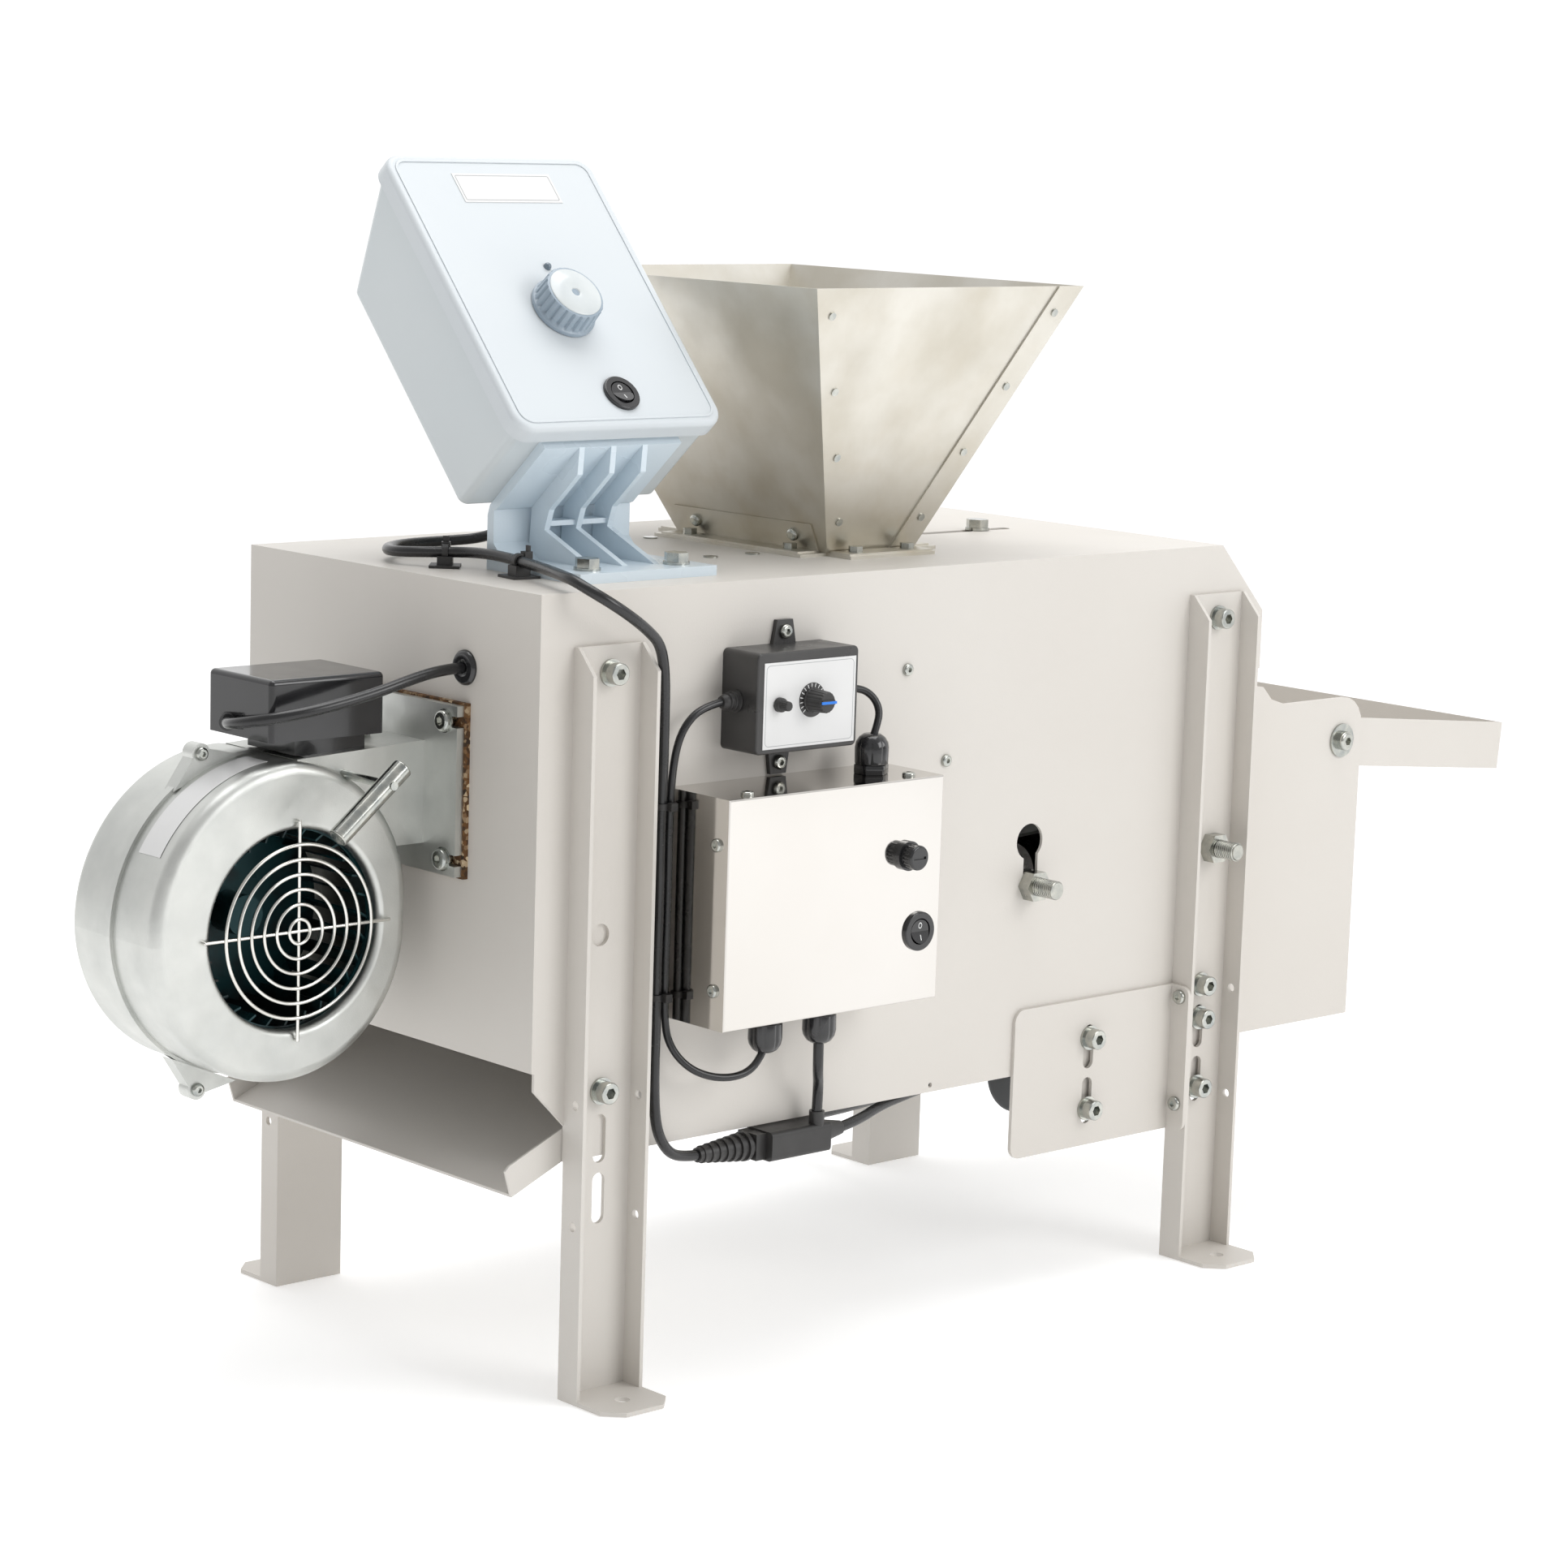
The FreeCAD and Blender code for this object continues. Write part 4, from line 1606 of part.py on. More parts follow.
# ================================================================ write every node
def main():
    os.makedirs("parts", exist_ok=True)
    save("near_side_panel", near_side_panel())
    save("far_side_panel", far_side_panel())
    save("top_cover", top_cover())
    save("blower_end_wall", blower_end_wall())
    save("seed_chute", chute())
    save("air_baffle", baffle())
    save("baffle_bolt", *baffle_bolt())
    save("tilting_tray", tray())
    save("near_legs", *near_legs())
    save("far_legs", *[mirrored(piece) for piece in near_legs()])
    save("zinc_bolts", *(m8_bolts() + hex_bolts()))
    side_walls, end_walls = hopper_walls()
    save("hopper_side_walls", side_walls)
    save("hopper_end_walls", end_walls)
    save("hopper_base", hopper_base(), *hopper_angles())
    save("hopper_rivets", *hopper_rivets())
    save("blower_front_housing", blower_front_housing())
    save("blower_rear_housing", blower_rear_housing())
    save("inlet_grille", inlet_grille())
    save("impeller", impeller())
    save("blower_motor", blower_motor())
    save("blower_gasket", blower_gasket())
    save("blower_screws", *blower_screws())
    save("damper_flap", damper())
    save("terminal_box", terminal_box())
    save("control_box_lid", lid())
    save("control_box_body", control_body())
    save("control_box_foot", control_foot())
    save("control_knob", control_knob())
    save("control_lamp", control_lamp())
    save("control_rocker", on_switch_seat(switch_rocker(round_switch_r)))
    save("switch_bezels", on_switch_seat(switch_bezel(round_switch_r)), on_supply(switch_bezel(round_switch_r)))
    save("blank_labels", *blank_labels())
    save("speed_controller_case", small_case())
    save("speed_knob", small_knob())
    save("trim_knob", trim_knob())
    save("supply_box_cover", supply_cover())
    save("supply_box_back", supply_back())
    save("supply_rocker", on_supply(switch_rocker(round_switch_r)))
    save("fuse_holder", fuse_holder())
    save("fuse_cap", fuse_cap())
    save("panel_screws", *(supply_screws() + plate_screws()))
    save("cable_glands", *cable_glands())
    save("drive_roller", drive_roller())
    save("idler_roller", idler_roller())
    save("conveyor_belt", conveyor())
    save("drive_belt", drive_belt_loop())
    save("motor_pulley", motor_pulley())
    save("gearmotor", gearmotor())
    save("motor_bracket", motor_bracket())
    save("motor_plate", motor_plate())
    save("roller_axles", *axles())
    save("blower_lead", cord(blower_route, lead_r))
    save("control_lead", cord(control_route, lead_r))
    save("controller_leads", cord(small_left_route, thin_lead_r), cord(small_right_route, thin_lead_r))
    save("supply_lead", cord(supply_route, lead_r))
    save("mains_lead", cord(mains_route, lead_r), cord(tail_route, lead_r))
    save("mains_coil", coil())
    save("mains_plug", plug())
    save("cord_coupler", coupler())
    save("cable_ties", *cable_ties())


main()
print(len(made), "nodes")
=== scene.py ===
import math

import bpy
from mathutils import Matrix, Vector


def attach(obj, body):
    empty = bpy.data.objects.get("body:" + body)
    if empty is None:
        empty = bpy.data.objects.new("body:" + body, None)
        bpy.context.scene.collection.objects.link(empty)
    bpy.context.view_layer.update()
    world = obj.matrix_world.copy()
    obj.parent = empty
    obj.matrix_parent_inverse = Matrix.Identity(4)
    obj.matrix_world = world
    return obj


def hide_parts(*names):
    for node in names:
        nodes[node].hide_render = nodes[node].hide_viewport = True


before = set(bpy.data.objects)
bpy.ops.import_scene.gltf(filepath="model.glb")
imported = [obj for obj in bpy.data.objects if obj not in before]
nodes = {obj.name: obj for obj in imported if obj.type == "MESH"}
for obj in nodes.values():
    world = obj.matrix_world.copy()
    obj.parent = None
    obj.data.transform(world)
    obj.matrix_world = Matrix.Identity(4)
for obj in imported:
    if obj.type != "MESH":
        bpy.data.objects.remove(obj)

# Looks of the bench-top grain cleaner: finishes, small parts, leads, light and camera.
# Metres, in the row's frame. Places are given from the housing's lower outer corner at the
# blower end, as in the part's source, and moved by `corner` to the row's frame.

# The empty scene's own objects aren't part of the machine.
for spare in ("Cube", "Light", "Camera"):
    if spare in bpy.data.objects:
        bpy.data.objects.remove(bpy.data.objects[spare])
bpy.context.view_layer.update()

corner = Vector((-0.3076, -0.1415, 0.0))

# ---------------------------------------------------------------- sizes
lead_d = 0.0065
thin_lead_d = 0.0046
lid_centre = Vector((0.102, 0.120, 0.6376))
lid_tilt = math.radians(42.0)
main_knob_at = (-0.003, -0.016)
main_knob_r = 0.020
main_knob_height = 0.017
lid_switch_at = (0.0085, -0.079)
lid_label_at = (0.003, 0.0765)
lid_label_size = (0.074, 0.022)
lid_film = 0.0004
lid_size = (0.157, 0.205)
box_depth = 0.078
rocker_reach = 0.0072
rocker_upper_tip = math.atan2(0.0003, rocker_reach)
rocker_lower_tip = -math.atan2(0.0022, rocker_reach)
supply_front_y = -0.055
supply_switch_at = (0.2508, 0.2628)
supply_top_z = 0.3562
supply_bottom_z = 0.220
gland_y = -0.027
gland_above_x = 0.234
gland_below_x = (0.155, 0.1985)
boot_left_at = (0.137, -0.013, 0.4055)
boot_right_at = (0.217, -0.014, 0.4065)
grommet_at = (0.0, 0.068, 0.4247)
small_front_y = -0.0314
small_knob_at = (0.180, 0.4053)
trim_at = (0.1537, 0.4044)
small_film_x = (0.142, 0.2145)
small_film_z = (0.3783, 0.4292)
knob_gap = 0.0004
border_inset = 0.0015
border_height = 0.00006
lid_bead_inset = 0.005
dial_r = 0.0103
dial_ticks = 12
dial_from = math.radians(225)
dial_to = math.radians(20)
blower_axis = (-0.1025, 0.2785)
scroll_reach = 0.101
blower_film_y = 0.1115
blower_film_width = 0.021
blower_film_from = math.radians(97)
blower_film_to = math.radians(150)
camera_place = (-1.75129, -1.92843, 0.75454)
camera_angles = (80.5010, -1.7902, -42.1087)
camera_lens = 94.47
bright_way = (0.78, 0.62, 0.05)
sky_dim = 0.5
sky_bright = 1.14
axle_places = ((0.402, 0.266), (0.5685, 0.2743))
control_gland_up = -0.080
control_gland_at = (lid_centre.x,
                    lid_centre.y + control_gland_up * math.sin(lid_tilt) + box_depth * math.cos(lid_tilt),
                    lid_centre.z + control_gland_up * math.cos(lid_tilt) - box_depth * math.sin(lid_tilt))


def placed(x, y, z):
    """A place given from the housing's corner, in the row's frame."""
    return Vector((x, y, z)) + corner


def hue(red, green, blue):
    """A display colour, each part 0 to 255, as the shader's linear colour."""
    def linear(value):
        value /= 255.0
        return value / 12.92 if value < 0.04045 else ((value + 0.055) / 1.055) ** 2.4
    return (linear(red), linear(green), linear(blue), 1.0)


# ================================================================ shared effects
def effect(name, inputs, outputs):
    """A node group with named inputs and outputs; gives the group and its two end nodes."""
    group = bpy.data.node_groups.new(name, "ShaderNodeTree")
    for label, kind, value in inputs:
        socket = group.interface.new_socket(name=label, in_out="INPUT", socket_type=kind)
        socket.default_value = value
    for label, kind in outputs:
        group.interface.new_socket(name=label, in_out="OUTPUT", socket_type=kind)
    return group, group.nodes.new("NodeGroupInput"), group.nodes.new("NodeGroupOutput")


def noise_in(group, start, detail):
    """Noise on the object's own coordinates, stretched and scaled by the group's inputs."""
    place = group.nodes.new("ShaderNodeTexCoord")
    stretch = group.nodes.new("ShaderNodeMapping")
    noise = group.nodes.new("ShaderNodeTexNoise")
    noise.inputs["Detail"].default_value = detail
    group.links.new(place.outputs["Object"], stretch.inputs["Vector"])
    group.links.new(start.outputs["Stretch"], stretch.inputs["Scale"])
    group.links.new(stretch.outputs["Vector"], noise.inputs["Vector"])
    group.links.new(start.outputs["Scale"], noise.inputs["Scale"])
    return noise


def patchy_colour():
    """Two colours that run into each other in soft patches."""
    group, start, end = effect(
        "patchy_colour",
        [("Colour", "NodeSocketColor", (0.5, 0.5, 0.5, 1)), ("Other", "NodeSocketColor", (0.4, 0.4, 0.4, 1)),
         ("Scale", "NodeSocketFloat", 8.0), ("Stretch", "NodeSocketVector", (1, 1, 1)),
         ("Spread", "NodeSocketFloat", 0.2)],
        [("Colour", "NodeSocketColor")])
    noise = noise_in(group, start, 5.0)
    low = group.nodes.new("ShaderNodeMath")
    low.operation = "SUBTRACT"
    low.inputs[0].default_value = 0.5
    high = group.nodes.new("ShaderNodeMath")
    high.operation = "ADD"
    high.inputs[0].default_value = 0.5
    share = group.nodes.new("ShaderNodeMapRange")
    mix = group.nodes.new("ShaderNodeMix")
    mix.data_type = "RGBA"
    group.links.new(start.outputs["Spread"], low.inputs[1])
    group.links.new(start.outputs["Spread"], high.inputs[1])
    group.links.new(noise.outputs["Fac"], share.inputs["Value"])
    group.links.new(low.outputs[0], share.inputs["From Min"])
    group.links.new(high.outputs[0], share.inputs["From Max"])
    group.links.new(share.outputs["Result"], mix.inputs["Factor"])
    group.links.new(start.outputs["Colour"], mix.inputs["A"])
    group.links.new(start.outputs["Other"], mix.inputs["B"])
    group.links.new(mix.outputs["Result"], end.inputs["Colour"])
    return group


def uneven_value():
    """A value that wanders between two limits, for roughness."""
    group, start, end = effect(
        "uneven_value",
        [("Low", "NodeSocketFloat", 0.3), ("High", "NodeSocketFloat", 0.5),
         ("Scale", "NodeSocketFloat", 12.0), ("Stretch", "NodeSocketVector", (1, 1, 1))],
        [("Value", "NodeSocketFloat")])
    noise = noise_in(group, start, 4.0)
    share = group.nodes.new("ShaderNodeMapRange")
    share.inputs["From Min"].default_value = 0.3
    share.inputs["From Max"].default_value = 0.7
    group.links.new(noise.outputs["Fac"], share.inputs["Value"])
    group.links.new(start.outputs["Low"], share.inputs["To Min"])
    group.links.new(start.outputs["High"], share.inputs["To Max"])
    group.links.new(share.outputs["Result"], end.inputs["Value"])
    return group


def grain_height():
    """The height of a fine grain, such as orange peel, casting skin or brushing."""
    group, start, end = effect(
        "grain_height",
        [("Scale", "NodeSocketFloat", 900.0), ("Stretch", "NodeSocketVector", (1, 1, 1))],
        [("Height", "NodeSocketFloat")])
    noise = noise_in(group, start, 2.0)
    group.links.new(noise.outputs["Fac"], end.inputs["Height"])
    return group


colour_effect = patchy_colour()
value_effect = uneven_value()
grain_effect = grain_height()


def place_effect(material, effect_group, **values):
    """Put a shared effect into a material with its own values."""
    node = material.node_tree.nodes.new("ShaderNodeGroup")
    node.node_tree = effect_group
    for label, value in values.items():
        node.inputs[label].default_value = value
    return node


def finish(name, colour, other, metallic, roughness, patch=6.0, patch_stretch=(1, 1, 1), spread=0.2,
           grain=900.0, grain_stretch=(1, 1, 1), depth=0.00002, uneven=14.0, **sockets):
    """A finish: patchy colour, uneven roughness and a fine grain. Depth is the grain's height in metres."""
    material = bpy.data.materials.new(name)
    material.use_nodes = True
    tree = material.node_tree
    shader = tree.nodes["Principled BSDF"]
    shader.inputs["Metallic"].default_value = metallic
    for label, value in sockets.items():
        shader.inputs[label.replace("_", " ").title()].default_value = value
    tint = place_effect(material, colour_effect, Colour=colour, Other=other, Scale=patch,
                        Stretch=patch_stretch, Spread=spread)
    rough = place_effect(material, value_effect, Low=roughness[0], High=roughness[1], Scale=uneven,
                         Stretch=patch_stretch)
    fine = place_effect(material, grain_effect, Scale=grain, Stretch=grain_stretch)
    bump = tree.nodes.new("ShaderNodeBump")
    bump.inputs["Strength"].default_value = 1.0
    bump.inputs["Distance"].default_value = depth
    tree.links.new(tint.outputs["Colour"], shader.inputs["Base Color"])
    tree.links.new(rough.outputs["Value"], shader.inputs["Roughness"])
    tree.links.new(fine.outputs["Height"], bump.inputs["Height"])
    tree.links.new(bump.outputs["Normal"], shader.inputs["Normal"])
    return material


# ================================================================ finishes
powder_coat = finish("powder_coat", hue(209, 205, 199), hue(203, 198, 191), 0.0, (0.42, 0.52), patch=3.0,
                     grain=1100.0, depth=0.00006)
lid_paint = finish("lid_paint", hue(208, 213, 216), hue(203, 209, 213), 0.0, (0.38, 0.46), patch=5.0,
                   grain=420.0, depth=0.00001, coat_weight=0.12, coat_roughness=0.1)
box_paint = finish("box_paint", hue(206, 212, 214), hue(200, 207, 210), 0.0, (0.26, 0.34), patch=5.0,
                   grain=500.0, depth=0.00001, coat_weight=0.3, coat_roughness=0.1)
foot_paint = finish("foot_paint", hue(213, 225, 233), hue(206, 219, 228), 0.0, (0.24, 0.36), patch=9.0,
                    grain=600.0, depth=0.00004, coat_weight=0.3, coat_roughness=0.12)
mirror_steel = finish("mirror_steel", hue(211, 208, 204), hue(203, 199, 193), 1.0, (0.05, 0.11), patch=4.0,
                      grain=500.0, grain_stretch=(1, 1, 0.02), depth=0.0000015, uneven=7.0)
zinc_plate = finish("zinc_plate", hue(196, 196, 188), hue(160, 164, 162), 1.0, (0.14, 0.26), patch=160.0,
                    grain=1800.0, depth=0.00001, uneven=240.0)
die_casting = finish("die_casting", hue(214, 215, 211), hue(194, 196, 193), 1.0, (0.36, 0.5), patch=34.0,
                     spread=0.28, grain=1300.0, depth=0.00006, uneven=70.0)
bright_wire = finish("bright_wire", hue(230, 230, 226), hue(208, 206, 200), 1.0, (0.1, 0.22), patch=60.0,
                     grain=1500.0, depth=0.000004, uneven=90.0)
moulded_black = finish("moulded_black", hue(42, 41, 41), hue(52, 51, 50), 0.0, (0.36, 0.5), patch=40.0,
                       grain=2400.0, depth=0.00003, uneven=60.0)
glossy_black = finish("glossy_black", hue(30, 30, 31), hue(40, 40, 42), 0.0, (0.1, 0.2), patch=20.0,
                      grain=700.0, depth=0.000012, uneven=40.0, coat_weight=0.3, coat_roughness=0.06)
lead_sheath = finish("lead_sheath", hue(30, 30, 31), hue(40, 40, 41), 0.0, (0.2, 0.3), patch=50.0,
                     grain=1600.0, depth=0.00002, uneven=70.0)
drum_paint = finish("drum_paint", hue(50, 52, 54), hue(62, 64, 66), 0.0, (0.35, 0.5), patch=30.0,
                    grain=1200.0, depth=0.00004, uneven=40.0)
# The impeller's teal patches are a painted reflection: teal colour mixed into the dark blades where they show
# a teal reflection.
dark_blades_teal_reflection = finish("dark_blades_teal_reflection", hue(30, 32, 33), hue(22, 62, 66), 0.4, (0.25, 0.4), patch=26.0,
                     spread=0.08, grain=900.0, depth=0.00002, uneven=50.0)
turned_aluminium = finish("turned_aluminium", hue(200, 201, 202), hue(184, 186, 188), 1.0, (0.26, 0.36),
                          patch=30.0, grain=1500.0, grain_stretch=(1, 0.03, 1), depth=0.00002, uneven=60.0)
belt_rubber = finish("belt_rubber", hue(64, 68, 66), hue(76, 80, 77), 0.0, (0.6, 0.75), patch=60.0,
                     grain=1500.0, depth=0.00008, uneven=80.0)
lamp_glass = finish("lamp_glass", hue(98, 112, 124), hue(116, 130, 140), 0.0, (0.08, 0.14), patch=200.0,
                    grain=900.0, depth=0.000004, coat_weight=0.6, coat_roughness=0.04)
label_film = finish("label_film", hue(221, 221, 220), hue(215, 215, 215), 0.0, (0.3, 0.38), patch=20.0,
                    grain=1200.0, depth=0.00001, uneven=40.0)
knob_skirt = finish("knob_skirt", hue(150, 164, 176), hue(140, 155, 168), 0.0, (0.24, 0.34), patch=60.0,
                    grain=1400.0, depth=0.00002, uneven=90.0, coat_weight=0.2, coat_roughness=0.1)
knob_face = finish("knob_face", hue(206, 211, 211), hue(196, 202, 204), 0.0, (0.16, 0.26), patch=60.0,
                   grain=900.0, depth=0.00001, uneven=80.0, coat_weight=0.3, coat_roughness=0.08)
mark_ink = finish("mark_ink", hue(232, 233, 232), hue(224, 225, 224), 0.0, (0.35, 0.45), patch=90.0,
                  grain=1500.0, depth=0.000005, uneven=90.0)
grey_ink = finish("grey_ink", hue(150, 152, 154), hue(160, 162, 164), 0.0, (0.4, 0.5), patch=90.0,
                  grain=1500.0, depth=0.000005, uneven=90.0)
case_plastic = finish("case_plastic", hue(52, 51, 51), hue(62, 61, 60), 0.0, (0.26, 0.36), patch=40.0,
                      grain=1900.0, depth=0.00002, uneven=60.0)
blue_ink = finish("blue_ink", hue(14, 112, 214), hue(20, 122, 222), 0.0, (0.3, 0.4), patch=90.0,
                  grain=1500.0, depth=0.000005, uneven=90.0)


def hopper_finish():
    """Bare stainless sheet: brushed along its height, clouded, with darker tarnish near the foot."""
    material = finish("hopper_sheet", hue(214, 211, 203), hue(196, 191, 179), 1.0, (0.34, 0.5), patch=16.0,
                      spread=0.16, grain=900.0, grain_stretch=(1, 1, 0.05), depth=0.00002, uneven=22.0)
    tree = material.node_tree
    shader = tree.nodes["Principled BSDF"]
    tint = shader.inputs["Base Color"].links[0].from_node
    place = tree.nodes.new("ShaderNodeTexCoord")
    split = tree.nodes.new("ShaderNodeSeparateXYZ")
    low = tree.nodes.new("ShaderNodeMapRange")
    low.inputs["From Min"].default_value = 0.476
    low.inputs["From Max"].default_value = 0.56
    low.inputs["To Min"].default_value = 0.28
    low.inputs["To Max"].default_value = 0.08
    blots = tree.nodes.new("ShaderNodeTexNoise")
    blots.inputs["Scale"].default_value = 42.0
    blots.inputs["Detail"].default_value = 6.0
    patch = tree.nodes.new("ShaderNodeMapRange")
    patch.inputs["From Min"].default_value = 0.5
    patch.inputs["From Max"].default_value = 0.72
    share = tree.nodes.new("ShaderNodeMath")
    share.operation = "MULTIPLY"
    mix = tree.nodes.new("ShaderNodeMix")
    mix.data_type = "RGBA"
    mix.inputs["B"].default_value = hue(176, 160, 130)
    tree.links.new(place.outputs["Object"], split.inputs["Vector"])
    tree.links.new(split.outputs["Z"], low.inputs["Value"])
    tree.links.new(place.outputs["Object"], blots.inputs["Vector"])
    tree.links.new(blots.outputs["Fac"], patch.inputs["Value"])
    tree.links.new(patch.outputs["Result"], share.inputs[0])
    tree.links.new(low.outputs["Result"], share.inputs[1])
    tree.links.new(share.outputs[0], mix.inputs["Factor"])
    tree.links.new(tint.outputs["Colour"], mix.inputs["A"])
    tree.links.new(mix.outputs["Result"], shader.inputs["Base Color"])
    return material


def gasket_finish():
    """Pressed cork and rubber: small cells from dark brown to orange, rough and raised."""
    material = finish("pressed_cork", hue(120, 82, 44), hue(70, 50, 34), 0.0, (0.8, 0.95), patch=300.0,
                      grain=900.0, depth=0.0001, uneven=300.0)
    tree = material.node_tree
    shader = tree.nodes["Principled BSDF"]
    place = tree.nodes.new("ShaderNodeTexCoord")
    cells = tree.nodes.new("ShaderNodeTexVoronoi")
    cells.inputs["Scale"].default_value = 420.0
    ramp = tree.nodes.new("ShaderNodeValToRGB")
    ramp.color_ramp.elements[0].color = hue(30, 26, 22)
    ramp.color_ramp.elements[1].color = hue(226, 206, 172)
    middle = ramp.color_ramp.elements.new(0.6)
    middle.color = hue(112, 76, 40)
    tree.links.new(place.outputs["Object"], cells.inputs["Vector"])
    tree.links.new(cells.outputs["Color"], ramp.inputs["Fac"])
    tree.links.new(ramp.outputs["Color"], shader.inputs["Base Color"])
    return material


def threaded_finish():
    """Zinc-plated axles with a thread: ridges across the bar, only near each bar's own axis."""
    material = finish("threaded_zinc", hue(194, 193, 184), hue(158, 160, 156), 1.0, (0.16, 0.28), patch=150.0,
                      grain=1600.0, depth=0.00001, uneven=200.0)
    tree = material.node_tree
    bump = next(node for node in tree.nodes if node.type == "BUMP")
    place = tree.nodes.new("ShaderNodeTexCoord")
    split = tree.nodes.new("ShaderNodeSeparateXYZ")
    tree.links.new(place.outputs["Object"], split.inputs["Vector"])
    nearest = None
    for x, z in axle_places:
        flat = tree.nodes.new("ShaderNodeCombineXYZ")
        tree.links.new(split.outputs["X"], flat.inputs["X"])
        tree.links.new(split.outputs["Z"], flat.inputs["Z"])
        away = tree.nodes.new("ShaderNodeVectorMath")
        away.operation = "DISTANCE"
        away.inputs[1].default_value = (x + corner.x, 0.0, z)
        tree.links.new(flat.outputs["Vector"], away.inputs[0])
        if nearest is None:
            nearest = away.outputs["Value"]
        else:
            least = tree.nodes.new("ShaderNodeMath")
            least.operation = "MINIMUM"
            tree.links.new(nearest, least.inputs[0])
            tree.links.new(away.outputs["Value"], least.inputs[1])
            nearest = least.outputs[0]
    on_bar = tree.nodes.new("ShaderNodeMath")
    on_bar.operation = "LESS_THAN"
    on_bar.inputs[1].default_value = 0.0062
    tree.links.new(nearest, on_bar.inputs[0])
    turns = tree.nodes.new("ShaderNodeMath")
    turns.operation = "MULTIPLY"
    turns.inputs[1].default_value = 2 * math.pi / 0.00175
    wave = tree.nodes.new("ShaderNodeMath")
    wave.operation = "SINE"
    ridges = tree.nodes.new("ShaderNodeMath")
    ridges.operation = "MULTIPLY"
    tree.links.new(split.outputs["Y"], turns.inputs[0])
    tree.links.new(turns.outputs[0], wave.inputs[0])
    tree.links.new(wave.outputs[0], ridges.inputs[0])
    tree.links.new(on_bar.outputs[0], ridges.inputs[1])
    tree.links.new(ridges.outputs[0], bump.inputs["Height"])
    bump.inputs["Distance"].default_value = 0.0003
    return material


hopper_sheet = hopper_finish()
pressed_cork = gasket_finish()
threaded_zinc = threaded_finish()

node_finishes = {
    powder_coat: ("near_side_panel", "far_side_panel", "top_cover", "blower_end_wall", "seed_chute",
                  "air_baffle", "tilting_tray", "near_legs", "far_legs", "motor_plate", "motor_bracket"),
    zinc_plate: ("zinc_bolts", "baffle_bolt", "damper_flap", "blower_screws", "panel_screws",
                 "hopper_rivets"),
    threaded_zinc: ("roller_axles",),
    hopper_sheet: ("hopper_side_walls", "hopper_end_walls", "hopper_base"),
    die_casting: ("blower_front_housing", "blower_rear_housing"),
    bright_wire: ("inlet_grille",),
    dark_blades_teal_reflection: ("impeller",),
    drum_paint: ("blower_motor", "gearmotor"),
    pressed_cork: ("blower_gasket",),
    glossy_black: ("terminal_box", "fuse_cap", "fuse_holder", "control_rocker", "supply_rocker",
                   "switch_bezels"),
    case_plastic: ("speed_controller_case",),
    lid_paint: ("control_box_lid",),
    box_paint: ("control_box_body",),
    foot_paint: ("control_box_foot",),
    lamp_glass: ("control_lamp",),
    label_film: ("blank_labels",),
    mirror_steel: ("supply_box_cover", "supply_box_back"),
    moulded_black: ("speed_knob", "trim_knob", "cable_glands", "cable_ties", "cord_coupler", "motor_pulley"),
    turned_aluminium: ("drive_roller", "idler_roller"),
    belt_rubber: ("conveyor_belt", "drive_belt"),
    lead_sheath: ("blower_lead", "control_lead", "controller_leads", "supply_lead", "mains_lead",
                  "mains_coil", "mains_plug"),
    knob_skirt: ("control_knob",),
}
for material, names in node_finishes.items():
    for name in names:
        nodes[name].data.materials.clear()
        nodes[name].data.materials.append(material)


# ================================================================ camera
def make_camera():
    """A long lens from the blower's near corner, a little above the top."""
    data = bpy.data.cameras.new("studio_camera")
    camera = bpy.data.objects.new("studio_camera", data)
    bpy.context.scene.collection.objects.link(camera)
    data.lens = camera_lens
    data.sensor_width = 36.0
    camera.location = camera_place
    camera.rotation_euler = [math.radians(angle) for angle in camera_angles]
    bpy.context.scene.camera = camera


# ================================================================ leads
def round_lead(name, route, diameter, replaced):
    """A smooth round lead along its route, given from the housing's corner."""
    data = bpy.data.curves.new(name, "CURVE")
    data.dimensions = "3D"
    spline = data.splines.new("NURBS")
    spline.points.add(len(route) - 1)
    for point, place in zip(spline.points, route):
        point.co = (*placed(*place), 1.0)
    spline.order_u = 3
    spline.use_endpoint_u = True
    spline.resolution_u = 10
    data.bevel_depth = diameter / 2
    data.bevel_resolution = 5
    data.use_fill_caps = True
    data.materials.append(lead_sheath)
    lead = bpy.data.objects.new(name, data)
    bpy.context.scene.collection.objects.link(lead)
    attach(lead, "machine")
    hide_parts(*replaced)
    return lead


